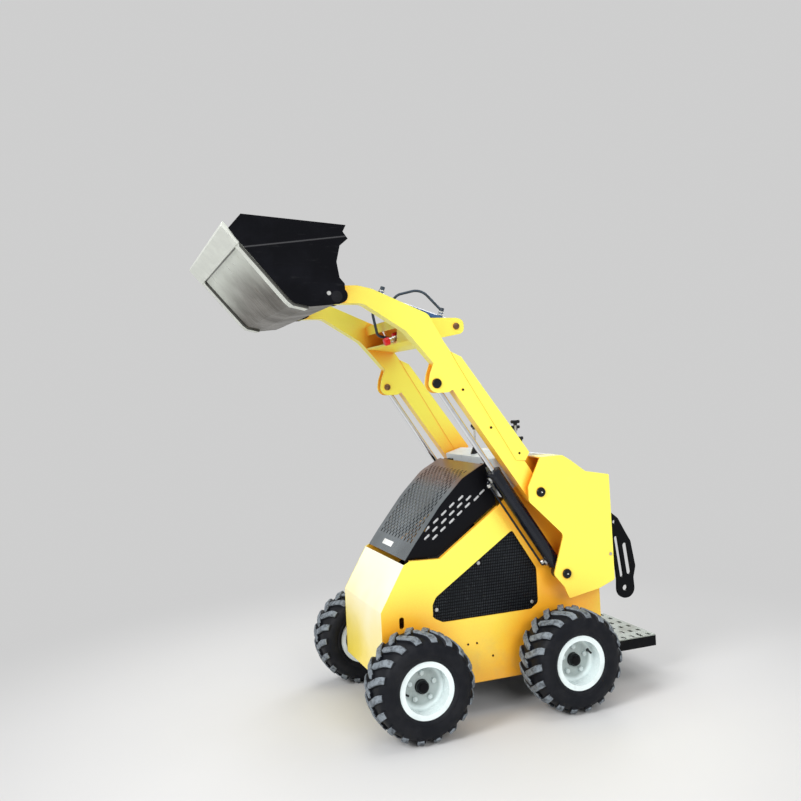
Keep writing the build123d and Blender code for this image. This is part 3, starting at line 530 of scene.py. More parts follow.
def tread_rubber(colours):
    """Rubber, scuffed grey with a painted highlight on the lugs' tops, and dark in the grooves and on the
    walls.
    """
    f = Finish("tread_rubber")
    tread = f.node("ShaderNodeAttribute", {"attribute_name": "tread"}, output="Fac")
    wall = f.node("ShaderNodeAttribute", {"attribute_name": "wall"}, output="Fac")
    top = f.ramp(tread, 0.8, 0.98)
    scuff = f.ramp(f.noise(48.0, 6.0, 0.7), 0.28, 0.6)
    film = f.ramp(f.noise(14.0, 5.0, 0.6), 0.38, 0.72)
    shade = f.mix(film * 0.5, colours.rubber, scaled(colours.rubber, 1.8))
    # Lug tops: real scuffing and a painted highlight of the sky, in one grey.
    scuffed_and_lit_tops = f.mix(top * (scuff * 0.85 + 0.15), shade, colours.scuffed_lit_rubber)
    dusty = f.mix((1.0 - top) * film * 0.015, scuffed_and_lit_tops, DUST)
    rings = f.node("ShaderNodeMath", {"operation": "SINE"}, {0: wall * 230.0})
    relief = rings * (1.0 - top) * 0.2 + f.noise(420.0, 3.0, 0.6) * 0.7
    return f.surface(
        Base_Color=dusty,
        Roughness=0.52 + scuff * top * 0.16 + film * 0.08,
        Specular_IOR_Level=0.16,
        Normal=f.bump(relief, 0.4 * MM, 0.5),
    )


def hose_cover(colours):
    """Dull rubber hose cover with fine wrapped cloth marks."""
    f = Finish("hose_cover")
    film = f.ramp(f.noise(40.0, 4.0, 0.6), 0.4, 0.75)
    bands = {"Vector": f.point(), "Scale": 170.0, "Distortion": 1.5}
    wrap = f.node("ShaderNodeTexWave", {"bands_direction": "DIAGONAL"}, bands)
    return f.surface(
        Base_Color=f.mix(film * 0.5, colours.hose, scaled(colours.hose, 1.9)),
        Roughness=0.42 + film * 0.2,
        Normal=f.bump(wrap, 0.2 * MM, 0.35),
    )


def cap_plastic(colours):
    """Red dust-cap plastic, a little chalky."""
    f = Finish("cap_plastic")
    chalk = f.ramp(f.noise(60.0, 4.0, 0.6), 0.45, 0.8)
    return f.surface(
        Base_Color=f.mix(chalk * 0.35, colours.cap_red, scaled(colours.cap_red, 1.25)),
        Roughness=chalk * 0.2 + 0.3,
        Normal=f.bump(f.noise(300.0, 2.0), 0.12 * MM, 0.3),
    )


def grip_plastic(colours):
    """Black grip plastic with a fine moulded grain."""
    f = Finish("grip_plastic")
    grain = f.node("ShaderNodeTexVoronoi", inputs={"Vector": f.point(), "Scale": 900.0})
    rubbed = f.ramp(f.noise(45.0, 4.0), 0.5, 0.75)
    return f.surface(
        Base_Color=f.mix(rubbed * 0.5, colours.black, scaled(colours.black, 2.0)),
        Roughness=0.42 + rubbed * 0.15,
        Normal=f.bump(grain, 0.12 * MM, 0.4),
    )


def housing_plastic(colours):
    """Grey textured moulding of the control housing."""
    f = Finish("housing_plastic")
    rounded = f.rounded(3.0 * MM)
    grain = f.node("ShaderNodeTexVoronoi", inputs={"Vector": f.point(), "Scale": 620.0})
    scuff = f.ramp(f.noise(20.0, 6.0, 0.66), 0.5, 0.78)
    return f.surface(
        Base_Color=f.mix(scuff * 0.4, colours.housing, scaled(colours.housing, 0.6)),
        Roughness=0.48 + scuff * 0.14,
        Normal=f.bump(grain, 0.15 * MM, 0.5, rounded),
    )


def step_plate(colours):
    """Galvanised tread plate: clouded spangle, rubbed by boots."""
    f = Finish("step_plate")
    rounded = f.rounded(1.4 * MM)
    spangle = f.node("ShaderNodeTexVoronoi", inputs={"Vector": f.point(), "Scale": 95.0}, output="Color")
    tone = f.node("ShaderNodeRGBToBW", inputs={"Color": spangle})
    rubbed = f.ramp(f.noise(9.0, 6.0, 0.66), 0.42, 0.7)
    mottled = f.mix(tone, scaled(colours.step, 0.8), colours.step)
    return f.surface(
        Base_Color=f.mix(rubbed * 0.45, mottled, (0.34, 0.33, 0.29)),
        Metallic=0.35,
        Roughness=0.42 + rubbed * 0.2,
        Normal=f.bump(f.noise(85.0, 4.0, 0.6), 0.3 * MM, 0.45, rounded),
    )


def cast_metal(colours):
    """Dark cast housing of the engine and its drives, oily and matt."""
    f = Finish("cast_metal")
    rounded = f.rounded(3.0 * MM)
    oil = f.ramp(f.noise(10.0, 5.0, 0.6), 0.4, 0.7)
    return f.surface(
        Base_Color=f.mix(oil * 0.6, colours.casting, scaled(colours.casting, 0.4)),
        Metallic=0.4,
        Roughness=0.62 - oil * 0.28,
        Normal=f.bump(f.noise(330.0, 4.0, 0.7), 0.5 * MM, 0.6, rounded),
    )


def dial_face(colours):
    """Pale instrument face under a thin clear coat."""
    f = Finish("dial_face")
    age = f.ramp(f.noise(70.0, 4.0), 0.4, 0.8)
    return f.surface(
        Base_Color=f.mix(age * 0.3, (0.62, 0.62, 0.58), (0.45, 0.44, 0.38)),
        Roughness=0.25 + age * 0.1,
        Coat_Weight=0.8,
        Coat_Roughness=0.03,
    )


FINISHES = {
    maker.__name__: maker
    for maker in (
        yellow_enamel, nose_enamel, black_enamel, side_enamel, pin_gloss, hub_enamel, rim_enamel,
        screen_paint, liner_foil, blank_label, bucket_steel, edge_steel, hard_chrome, zinc_plate,
        cylinder_enamel, tilt_enamel, tread_rubber, hose_cover, cap_plastic, grip_plastic,
        housing_plastic, step_plate, cast_metal, dial_face,
    )
}
FINISH_OF_SLOT = {
    "yellow_paint": "yellow_enamel", "black_paint": "black_enamel", "grey_paint": "housing_plastic",
    "rim_paint": "rim_enamel", "bare_steel": "bucket_steel", "chrome": "hard_chrome",
    "cylinder_paint": "cylinder_enamel", "tyre_rubber": "tread_rubber", "hose_rubber": "hose_cover",
    "red_cap": "cap_plastic", "knob_plastic": "grip_plastic", "engine_metal": "cast_metal",
}
FINISH_OF_NODE = {
    "platform_tread": "step_plate", "cutting_edge": "edge_steel", "wear_strips": "edge_steel",
    "wheel_motors": "cast_metal", "bucket_sides": "side_enamel", "tilt_barrel": "tilt_enamel",
    "nose_panel": "nose_enamel", "tower_pins": "pin_gloss", "arm_pins": "pin_gloss",
    "bucket_pins": "pin_gloss",
    **{f"hub_{place}": "hub_enamel" for place in WHEELS},
}


def finish(name):
    """The material of that name, made the first time it is asked for."""
    return bpy.data.materials.get(name) or FINISHES[name](bpy.context.scene.loader_colours)


# ------------------------------------------------------------------ mesh helpers
TOUCHING = 1e-6


def facing(point, direction, roll=0.0):
    """Carries the local origin to a point and local +Z onto a direction."""
    turn = Vector(direction).to_track_quat("Z", "Y").to_matrix().to_4x4()
    return Matrix.Translation(point) @ turn @ Matrix.Rotation(roll, 4, "Z")


def merge(bm, part, matrix=None):
    """Adds a part's mesh to bm, moved by a matrix, and frees the part."""
    if matrix is not None:
        part.transform(matrix)
    mesh = bpy.data.meshes.new("part")
    part.to_mesh(mesh)
    part.free()
    bm.from_mesh(mesh)
    bpy.data.meshes.remove(mesh)


def lathe(profile, steps):
    """A solid of revolution about local Z from its (height, radius) points."""
    part = bmesh.new()
    line = [part.verts.new((radius, 0, height)) for height, radius in profile]
    outline = line + [part.edges.new(ends) for ends in zip(line, line[1:])]
    bmesh.ops.spin(
        part, geom=outline, cent=(0, 0, 0), axis=(0, 0, 1), angle=TURN, steps=steps, use_merge=True,
    )
    bmesh.ops.remove_doubles(part, verts=part.verts, dist=TOUCHING)
    bmesh.ops.recalc_face_normals(part, faces=part.faces)
    return part


def turned(profile, steps=28, unit=MM):
    """A lathed part whose profile is in millimetres, or in another unit."""
    return lathe([(height * unit, radius * unit) for height, radius in profile], steps)


def block(size, bevel=0.0):
    """A box about the local origin, its edges rounded by bevel."""
    part = bmesh.new()
    bmesh.ops.create_cube(part, size=1.0)
    bmesh.ops.scale(part, vec=size, verts=part.verts)
    if bevel:
        bmesh.ops.bevel(
            part, geom=part.edges, offset=bevel, segments=2, profile=0.5, affect="EDGES", material=-1,
        )
    return part


def tube(rings, around, place_vertex):
    """A tube from a grid; place_vertex(u, v) puts each vertex, u along and v round it, both 0 to 1."""
    part = bmesh.new()
    bmesh.ops.create_grid(part, x_segments=rings, y_segments=around, size=0.5)
    for vertex in part.verts:
        vertex.co = place_vertex(vertex.co.x + 0.5, vertex.co.y + 0.5)
    bmesh.ops.remove_doubles(part, verts=part.verts, dist=TOUCHING)
    bmesh.ops.holes_fill(part, edges=part.edges, sides=0)
    bmesh.ops.recalc_face_normals(part, faces=part.faces)
    return part


def along_path(points, distance):
    """The point and direction at a distance along a path of points."""
    for start, end in zip(points, points[1:]):
        run = (end - start).length
        if distance <= run or end is points[-1]:
            return start.lerp(end, min(1.0, distance / run)), (end - start).normalized()
        distance -= run


def path_length(points):
    """How long a path of points is."""
    return sum((end - start).length for start, end in zip(points, points[1:]))


def rounded_path(points, window, distance):
    """The place at a distance along a path whose corners are rounded over a window."""
    length = path_length(points)
    places = [
        along_path(points, min(length, max(0.0, distance + window * share)))[0]
        for share in (-0.5, -0.25, 0.0, 0.25, 0.5)
    ]
    return sum(places, Vector()) / len(places)


def ring_of(centre, axis, radius, count):
    """Points of a closed circle about an axis."""
    turn = facing(centre, axis)
    angles = [TURN * i / count for i in range(count + 1)]
    return [turn @ Vector((radius * math.cos(angle), radius * math.sin(angle), 0)) for angle in angles]


BEAD_RIPPLE = 4.0 * MM


def weld_ring(points, width):
    """A rippled weld along a closed ring of points."""
    length = path_length(points)
    ripples = round(length / BEAD_RIPPLE)
    centre = sum(points[:-1], Vector()) / (len(points) - 1)

    def bead_vertex(u, v):
        middle, direction = along_path(points, u * length)
        side = (middle - centre).normalized()
        reach = width / 2 * (0.86 + 0.14 * math.cos(TURN * ripples * u))
        angle = TURN * v
        return middle + reach * (side * math.cos(angle) + direction.cross(side) * math.sin(angle))

    return tube(2 * ripples, 6, bead_vertex)


# Heights and radii: a bolt's as shares of its thread, the dome's of its own radius.
WASHER = [(0, 0), (0, 1.1), (0.16, 1.1), (0.16, 0)]
BOLT_HEAD = [(0.16, 0), (0.16, 0.9), (0.72, 0.9), (0.84, 0.74), (0.84, 0)]
DOME = [(0, 0), (0, 1), (0.15, 1), (0.42, 0.7), (0.52, 0.35), (0.54, 0)]


def hex_bolt(bm, point, direction, thread):
    """A washer and hexagon head on a face."""
    roll = random.uniform(0, TURN)
    for profile, steps in ((WASHER, 20), (BOLT_HEAD, 6)):
        merge(bm, turned(profile, steps, thread), facing(point, direction, roll))


def dome_plug(bm, point, direction, radius):
    """A low domed cap or rivet head."""
    merge(bm, turned(DOME, 18, radius), facing(point, direction))


def finished(bm, name, body, finish_name, replaces=(), smooth=38.0):
    """Makes bm a piece: shaded, finished, riding on its body, in place of CAD nodes if any."""
    mesh = bpy.data.meshes.new(name)
    bm.to_mesh(mesh)
    bm.free()
    mesh.materials.append(finish(finish_name))
    mesh.shade_smooth()
    mesh.set_sharp_from_angle(angle=math.radians(smooth))
    piece = bpy.data.objects.new(name, mesh)
    bpy.context.scene.collection.objects.link(piece)
    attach(piece, body)
    if replaces:
        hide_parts(*replaces)
    return piece


# ------------------------------------------------------------------ tyres
CARCASS = [
    # x and radius of the carcass under its lugs in millimetres, from the middle to the bead
    (0, 213.5), (45, 212.5), (72, 208), (88, 200), (97.5, 189), (102.5, 176), (105, 163),
    (104.2, 150), (101.5, 141), (103, 136), (101, 130), (96, 125), (92.6, 121.5), (88, 119.5),
    (88, 102.2),
]
CARCASS_STEPS = 96
LUG_STATIONS = [
    # x of the station, how far round it lies, radius of its top, width; all in millimetres
    (-12, 0, 228.3, 20), (2, 2, 228.4, 30), (26, 13, 228.2, 32), (50, 27, 227.4, 33),
    (72, 40, 224.5, 34), (88, 48, 216.5, 34), (97, 52, 205, 31),
]
LUG_HEIGHT = 8 * MM
LUG_STAGGER = 0.25
# Local X goes forward and local Y up, so the lugs trail upwards at the tyre's front.
ONTO_AXLE = Matrix(((0, 0, 1, 0), (-1, 0, 0, 0), (0, 1, 0, 0), (0, 0, 0, 1)))
LUG_SECTION = [
    # share of the half width, and how far below the top, in millimetres
    (-1.22, 18), (-1.0, 4), (-0.86, 0), (0.86, 0), (1.0, 4), (1.22, 18),
]


def carcass():
    """The tyre's body about local Z."""
    return turned(CARCASS + [(-x, radius) for x, radius in reversed(CARCASS)], CARCASS_STEPS)


def carcass_radius(x):
    """The carcass's own radius at a distance from the tyre's middle."""
    for (x_in, radius_in), (x_out, radius_out) in zip(CARCASS, CARCASS[1:]):
        if x <= x_out * MM or x_out < x_in:
            share = min(1.0, max(0.0, (x / MM - x_in) / (x_out - x_in)))
            return (radius_in + share * (radius_out - radius_in)) * MM


def lug(side, start):
    """One bar from across the middle to the shoulder, starting at an angle round the tyre."""
    part = bmesh.new()
    rings = []
    for x, along, top, width in LUG_STATIONS:
        ring = []
        for share, below in LUG_SECTION:
            radius = (top - below) * MM
            turn = start + (along + share * width / 2) * MM / TYRE_RADIUS
            place = (radius * math.cos(turn), radius * math.sin(turn), side * x * MM)
            ring.append(part.verts.new(place))
        loop = [part.edges.new(ends) for ends in zip(ring, ring[1:] + ring[:1])]
        if rings:
            bmesh.ops.bridge_loops(part, edges=rings[-1] + loop)
        rings.append(loop)
    for loop in (rings[0], rings[-1]):
        bmesh.ops.contextual_create(part, geom=loop)
    bmesh.ops.recalc_face_normals(part, faces=part.faces)
    return part


def treaded_tyre(lugs_a_side):
    """Carcass and staggered lugs about local Z, with the values the rubber reads."""
    bm = carcass()
    for side in BOTH_SIDES:
        for i in range(lugs_a_side):
            merge(bm, lug(side, TURN * (i + LUG_STAGGER * side) / lugs_a_side))
    tread = bm.verts.layers.float.new("tread")
    wall = bm.verts.layers.float.new("wall")
    for vertex in bm.verts:
        radius = math.hypot(vertex.co.x, vertex.co.y)
        above = radius - carcass_radius(abs(vertex.co.z))
        vertex[tread] = min(1.0, max(0.0, above / LUG_HEIGHT))
        vertex[wall] = radius
    return bm


class LOADER_OT_tyres(bpy.types.Operator):
    """Model four tyres with chevron lugs in place of the plain ones"""
    bl_idname = "loader.tyres"
    bl_label = "Treaded tyres"

    def execute(self, context):
        sizes = context.scene.loader_sizes
        for place, centre in WHEELS.items():
            bm = treaded_tyre(sizes.lugs_a_side)
            spun = Matrix.Rotation(random.uniform(0, TURN), 4, "X")
            bm.transform(Matrix.Translation(centre) @ spun @ ONTO_AXLE)
            bmesh.ops.recalc_face_normals(bm, faces=bm.faces)
            finished(
                bm, f"treaded_tyre_{place}", f"wheel_{place}", "tread_rubber",
                replaces=[f"tyre_{place}"], smooth=30.0,
            )
        return {"FINISHED"}


# ------------------------------------------------------------------ wheel details
VALVE_RADIUS, VALVE_LEAN = 83 * MM, 0.18
DISC_X = 20 * MM
WELD_X, WELD_RADIUS, WELD_WIDTH = 28 * MM, 96.5 * MM, 5 * MM
HUB_END_X = 45.5 * MM
# Heights and radii in millimetres.
VALVE_STEM = [
    (0, 0), (0, 8), (3, 8), (6, 5.2), (26, 4.2), (27, 3.2), (29, 3.2), (29, 4.6), (41, 4.4), (42, 3.4),
    (42, 0),
]
HUB_CAP = [(0, 0), (0, 21), (2, 22.5), (6, 21.5), (9, 17), (10.5, 9), (11, 0)]


class LOADER_OT_wheel_details(bpy.types.Operator):
    """Add valve stems, a dust cap and a weld round each wheel's disc"""
    bl_idname = "loader.wheel_details"
    bl_label = "Wheel details"

    def execute(self, context):
        for place, centre in WHEELS.items():
            body = f"wheel_{place}"
            out = Vector((math.copysign(1, centre.x), 0, 0))
            angle = random.uniform(0, TURN)
            radial = Vector((0, math.cos(angle), math.sin(angle)))
            foot = centre + out * DISC_X + radial * VALVE_RADIUS
            stem, weld, cap = (bmesh.new() for _ in range(3))
            merge(stem, turned(VALVE_STEM, 14), facing(foot, out - radial * VALVE_LEAN))
            merge(weld, weld_ring(ring_of(centre + out * WELD_X, (1, 0, 0), WELD_RADIUS, 64), WELD_WIDTH))
            merge(cap, turned(HUB_CAP, 28), facing(centre + out * HUB_END_X, out))
            finished(stem, f"valve_stem_{place}", body, "grip_plastic")
            finished(weld, f"disc_weld_{place}", body, "rim_enamel")
            finished(cap, f"hub_cap_{place}", body, "black_enamel")
        return {"FINISHED"}


# ------------------------------------------------------------------ perforated sheets
def cut_across(bm, places, axis):
    """Cuts a flat sheet by planes across one axis; axis 0 is X and 1 is Y."""
    normal = Vector((0, 0, 0))
    normal[axis] = 1
    for place in places:
        geometry = bm.verts[:] + bm.edges[:] + bm.faces[:]
        bmesh.ops.bisect_plane(
            bm, geom=geometry, plane_co=normal * place, plane_no=normal, dist=TOUCHING / 10,
        )


def punch(bm, cells, hole):
    """Opens a hole in each cell: an inner face inset, squared to the hole's size, then deleted."""
    bmesh.ops.inset_individual(bm, faces=cells, thickness=0.5 * MM, use_even_offset=True)
    for face in cells:
        middle = face.calc_center_bounds()
        for vertex in face.verts:
            off = vertex.co - middle
            corner = (math.copysign(hole[0] / 2, off.x), math.copysign(hole[1] / 2, off.y), 0)
            vertex.co = middle + Vector(corner)
    bmesh.ops.delete(bm, geom=cells, context="FACES")


HOOD_TOP = [
    # y, z in millimetres down the screen's outer face, from its foot to its hinged end
    (-350, 712.8), (-297, 784), (-163, 950), (-48, 1063), (64, 1122),
]
HOOD_HALF_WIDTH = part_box("hood_screen")[1].x
SHEET = 2 * MM
KNUCKLE_X = (206 * MM, 234 * MM)
KNUCKLE_RADIUS, KNUCKLE_BORE, KNUCKLE_CHAMFER = 9 * MM, 5.1 * MM, 1 * MM
LEAF_LENGTH, LEAF_THICKNESS, LEAF_TILT = 46 * MM, 5 * MM, 0.42
LEAF_MIDDLE = placed(0, 53, 1103.5)
PLAIN_FOOT = 88 * MM
PLAIN_TOP = 26 * MM
PLAIN_SIDE = 34 * MM
SLOT_LENGTH = 1.85
SLOT_CORNER = 0.56
SCREEN_BEND = 50 * MM


def slot_start(y, first, row, column):
    """Where the slot that holds y in a column starts; every other column is half a row on."""
    offset = first + (column % 2) * row / 2
    return offset + math.floor((y - offset) / row) * row


def hood_sheet(column_pitch, row_pitch, width, length):
    """The slotted screen, modelled flat and then laid along the hood's bent top."""
    line = [placed(0, y, z) for y, z in HOOD_TOP]
    slope = path_length(line)
    bm = bmesh.new()
    bmesh.ops.create_grid(bm, x_segments=1, y_segments=1, size=0.5)
    bmesh.ops.scale(bm, vec=(2 * HOOD_HALF_WIDTH, slope, 1), verts=bm.verts)
    bmesh.ops.translate(bm, vec=(0, slope / 2, 0), verts=bm.verts)
    half_columns = int((HOOD_HALF_WIDTH - PLAIN_SIDE) / column_pitch)
    rows = int((slope - PLAIN_FOOT - PLAIN_TOP) / row_pitch)
    middles = [i * column_pitch for i in range(-half_columns, half_columns + 1)]
    cut_across(bm, [middle + side * width / 2 for middle in middles for side in BOTH_SIDES], 0)
    ends = (0, length - row_pitch / 2, length / 2, row_pitch / 2, length, (length + row_pitch) / 2)
    cut_across(bm, [PLAIN_FOOT + i * row_pitch + end for i in range(rows) for end in ends], 1)
    slots, corners = [], {}
    for face in bm.faces:
        middle = face.calc_center_bounds()
        column = round(middle.x / column_pitch)
        start = slot_start(middle.y, PLAIN_FOOT, row_pitch, column)
        whole = PLAIN_FOOT - MM < start < PLAIN_FOOT + rows * row_pitch - length
        across = abs(middle.x - column * column_pitch) < width / 2
        if whole and across and abs(column) <= half_columns and middle.y < start + length:
            slots.append(face)
            for vertex in face.verts:
                if min(abs(vertex.co.y - start), abs(vertex.co.y - start - length)) < 0.1 * MM:
                    corners[vertex] = column * column_pitch
    for vertex, middle in corners.items():
        vertex.co.x = middle + (vertex.co.x - middle) * SLOT_CORNER
    bmesh.ops.delete(bm, geom=slots, context="FACES")
    for vertex in bm.verts:
        place = rounded_path(line, SCREEN_BEND, vertex.co.y)
        vertex.co = Vector((vertex.co.x, place.y, place.z))
    bmesh.ops.recalc_face_normals(bm, faces=bm.faces)
    if sum(face.normal.z for face in bm.faces) < 0:
        bmesh.ops.reverse_faces(bm, faces=bm.faces)
    bmesh.ops.solidify(bm, geom=bm.faces, thickness=SHEET)
    return bm


def hood_knuckle(side):
    """One hinge knuckle and the leaf that carries it."""
    part = bmesh.new()
    low, high = KNUCKLE_X
    half = (high - low) / 2
    shoulder = KNUCKLE_RADIUS - KNUCKLE_CHAMFER
    ring = [
        (-half, KNUCKLE_BORE), (-half, shoulder), (KNUCKLE_CHAMFER - half, KNUCKLE_RADIUS),
        (half - KNUCKLE_CHAMFER, KNUCKLE_RADIUS), (half, shoulder), (half, KNUCKLE_BORE),
        (-half, KNUCKLE_BORE),
    ]
    middle = Vector((side * (low + high) / 2, 0, 0))
    merge(part, lathe(ring, 24), facing(HOOD_HINGE + middle, (1, 0, 0)))
    (y_below, z_below), (y_above, z_above) = HOOD_TOP[-2:]
    slope = math.atan2(z_above - z_below, y_above - y_below)
    leaf = block((high - low, LEAF_LENGTH, LEAF_THICKNESS), 0.8 * MM)
    tilt = Matrix.Rotation(slope * LEAF_TILT, 4, "X")
    merge(part, leaf, Matrix.Translation(LEAF_MIDDLE + middle) @ tilt)
    return part


LINER_OUTLINE = [
    (-278, 775), (-222, 862), (-120, 965), (-30, 1035), (75, 1050), (85, 990), (-60, 850), (-150, 788),
]
LINER_X, BACKING = 255.5 * MM, 1.5 * MM
LABEL_SIZE = (130 * MM, 26 * MM, 1 * MM)
LABEL_UP, LABEL_X = 51 * MM, -40 * MM


def standing_plate(outline, x, thickness):
    """A plate of an outline's (y, z) points standing across X, its outer face at x."""
    part = bmesh.new()
    corners = [part.verts.new(placed(0, y, z) + Vector((x, 0, 0))) for y, z in outline]
    face = part.faces.new(corners)
    inward = bmesh.ops.extrude_face_region(part, geom=[face])["geom"]
    moved = [item for item in inward if isinstance(item, bmesh.types.BMVert)]
    bmesh.ops.translate(part, vec=(-thickness, 0, 0), verts=moved)
    bmesh.ops.recalc_face_normals(part, faces=part.faces)
    return part


def blank_plate():
    """A plain plate near the screen's foot, flat on its outer face."""
    foot, above = (placed(0, y, z) for y, z in HOOD_TOP[:2])
    up_slope = (above - foot).normalized()
    out = ACROSS.cross(up_slope)
    middle = foot + up_slope * LABEL_UP + out * LABEL_SIZE[2] / 2 + ACROSS * LABEL_X
    turn = Matrix((ACROSS, up_slope, out)).transposed().to_4x4()
    plate = bmesh.new()
    merge(plate, block(LABEL_SIZE, 0.5 * MM), Matrix.Translation(middle) @ turn)
    return plate


class LOADER_OT_hood_screen(bpy.types.Operator):
    """Model the perforated hood screen, its blank plate and the liners behind its cheeks"""
    bl_idname = "loader.hood_screen"
    bl_label = "Perforated hood"

    def execute(self, context):
        sizes = context.scene.loader_sizes
        slot = sizes.screen_slot
        screen = hood_sheet(sizes.screen_pitch, sizes.screen_row, slot, slot * SLOT_LENGTH)
        liners = bmesh.new()
        for side in BOTH_SIDES:
            merge(screen, hood_knuckle(side))
            merge(liners, standing_plate(LINER_OUTLINE, side * LINER_X, side * BACKING))
        finished(
            screen, "perforated_hood", "hood", "screen_paint", replaces=["hood_screen"],
        )
        finished(liners, "cheek_liners", "hood", "liner_foil")
        finished(blank_plate(), "blank_plate", "hood", "blank_label")
        return {"FINISHED"}


GRILLE_OUTLINE = [(-255, 400), (-255, 560), (185, 848), (325, 630), (325, 400)]
GRILLE_OPENING = [
    (-232, 455), (-232, 512), (-214, 545), (181, 805), (299, 615), (299, 455), (262, 430), (-185, 430),
]
GRILLE_X, BAFFLE_X = PANEL_X - 5 * MM, PANEL_X - 12 * MM
GRILLE_BOLTS = [(-212, 488), (4, 672), (268, 462)]
BOLT_CLEARANCE = 15 * MM
# Row pitch over column pitch, and a hole's height over its width.
GRILLE_ROW, GRILLE_HOLE_HEIGHT = 1.5, 1.8


def inside(point, outline):
    """Whether a (y, z) point lies within an outline."""
    y, z = point
    within = False
    for (ya, za), (yb, zb) in zip(outline, outline[1:] + outline[:1]):
        if (za > z) != (zb > z) and y < ya + (z - za) * (yb - ya) / (zb - za):
            within = not within
    return within


def grille_sheet(side, pitch, hole):
    """One side's punched grille, modelled flat in its own (y, z) and stood up behind the panel."""
    bm = bmesh.new()
    bm.faces.new([bm.verts.new((y * MM, z * MM, 0)) for y, z in GRILLE_OUTLINE])
    for axis in (0, 1):
        places = [point[axis] * MM for point in GRILLE_OPENING]
        count = round((max(places) - min(places)) / pitch[axis]) + 1
        cut_across(bm, [min(places) + i * pitch[axis] for i in range(count)], axis)
    cells = []
    for face in bm.faces:
        y, z, _ = face.calc_center_bounds()
        whole = abs(face.calc_area() - pitch[0] * pitch[1]) < 0.01 * MM * MM
        clear = all(
            math.hypot(y - bolt_y * MM, z - bolt_z * MM) > BOLT_CLEARANCE for bolt_y, bolt_z in GRILLE_BOLTS
        )
        if whole and clear and inside((y / MM, z / MM), GRILLE_OPENING):
            cells.append(face)
    punch(bm, cells, hole)
    bmesh.ops.recalc_face_normals(bm, faces=bm.faces)
    bmesh.ops.solidify(bm, geom=bm.faces, thickness=SHEET)
    for vertex in bm.verts:
        y, z, depth = vertex.co
        vertex.co = (side * (GRILLE_X - abs(depth)), y + AXLES_Y, z)
    bmesh.ops.recalc_face_normals(bm, faces=bm.faces)
    return bm


class LOADER_OT_side_grilles(bpy.types.Operator):
    """Model the punched side grilles and the baffles behind them"""
    bl_idname = "loader.side_grilles"
    bl_label = "Side grilles"

    def execute(self, context):
        sizes = context.scene.loader_sizes
        pitch = (sizes.grille_pitch, sizes.grille_pitch * GRILLE_ROW)
        hole = (sizes.grille_hole, sizes.grille_hole * GRILLE_HOLE_HEIGHT)
        grilles, baffles = bmesh.new(), bmesh.new()
        for side in BOTH_SIDES:
            merge(grilles, grille_sheet(side, pitch, hole))
            merge(baffles, standing_plate(GRILLE_OPENING, side * BAFFLE_X, side * BACKING))
        finished(
            grilles, "punched_side_grilles", "root", "black_enamel",
            replaces=["side_grilles"],
        )
        finished(baffles, "grille_baffles", "root", "screen_paint")
        return {"FINISHED"}


# ------------------------------------------------------------------ bolts, plugs and nipples
# (y, z) in millimetres on the machine's left, repeated on its right.
PANEL_PLUGS = [(-69, 314), (-25, 314), (-228, 464), (52, 246)]
TOWER_BOLTS = [(632, 663)]
GUARD_RIVETS = [(-69, 1467), (60, 1290), (196, 1165)]
# (x, z) on the rear wall and (x, y) on the step.
REAR_PLUGS = [(x, z) for x in (-215, 215) for z in (260, 560, 860)]
STEP_PLUGS = [(-190, 700), (-190, 900), (190, 700), (190, 900)]
GRILLE_THREAD, TOWER_THREAD = 0.8, 0.7
PANEL_PLUG, GUARD_RIVET, LARGE_PLUG = 5 * MM, 5.5 * MM, 7 * MM
GREASE_NIPPLE = [(-1, 0), (-1, 4), (2, 4), (2, 2.2), (5, 2.2), (6.5, 3), (8, 1.8), (8, 0)]


class LOADER_OT_hardware(bpy.types.Operator):
    """Add the bolts, plugs, rivets and grease nipples of the body and arms"""
    bl_idname = "loader.hardware"
    bl_label = "Bolts and nipples"

    def execute(self, context):
        thread = context.scene.loader_sizes.thread
        bright, dark, rivets, nipples = (bmesh.new() for _ in range(4))
        guard_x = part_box("hose_guards")[1].x
        pin_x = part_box("tower_pins")[1].x
        for side, hand in zip(BOTH_SIDES, ("left", "right")):
            out = ACROSS * side
            for y, z in GRILLE_BOLTS:
                hex_bolt(bright, placed(0, y, z) + out * GRILLE_X, out, thread * GRILLE_THREAD)
            for y, z in TOWER_BOLTS:
                hex_bolt(bright, placed(0, y, z) + out * TOWER_X, out, thread * TOWER_THREAD)
            for y, z in PANEL_PLUGS:
                dome_plug(dark, placed(0, y, z) + out * PANEL_X, out, PANEL_PLUG)
            for y, z in GUARD_RIVETS:
                dome_plug(rivets, placed(0, y, z) + out * guard_x, out, GUARD_RIVET)
            for joint in ("arm_lift", f"lift_cylinder_{hand}_swing"):
                _, y, z = JOINTS[joint]["pos_m"]
                merge(nipples, turned(GREASE_NIPPLE, 12), facing((side * pin_x, y, z), out))
        tread_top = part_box("platform_tread")[1].z
        for x, y in STEP_PLUGS:
            dome_plug(dark, placed(x, y, 0) + Vector((0, 0, tread_top)), (0, 0, 1), LARGE_PLUG)
        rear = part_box("side_panels")[1].y
        for x, z in REAR_PLUGS:
            dome_plug(bright, (x * MM, rear, z * MM), (0, 1, 0), LARGE_PLUG)
        finished(nipples, "grease_nipples", "root", "zinc_plate")
        finished(bright, "body_bolts", "root", "zinc_plate")
        finished(dark, "body_plugs", "root", "black_enamel")
        finished(rivets, "guard_rivets", "lift_arms", "black_enamel")
        return {"FINISHED"}


# ------------------------------------------------------------------ hydraulic fittings
HEX_CORNER, NUT_CHAMFER = 0.577, 0.06


def hex_nut(across, length):
    """A hexagon about local Z with chamfered ends."""
    flat, corner, chamfer = across * 0.5, across * HEX_CORNER, across * NUT_CHAMFER
    return lathe(
        [(0, 0), (0, flat), (chamfer, corner), (length - chamfer, corner), (length, flat), (length, 0)],
        6,
    )


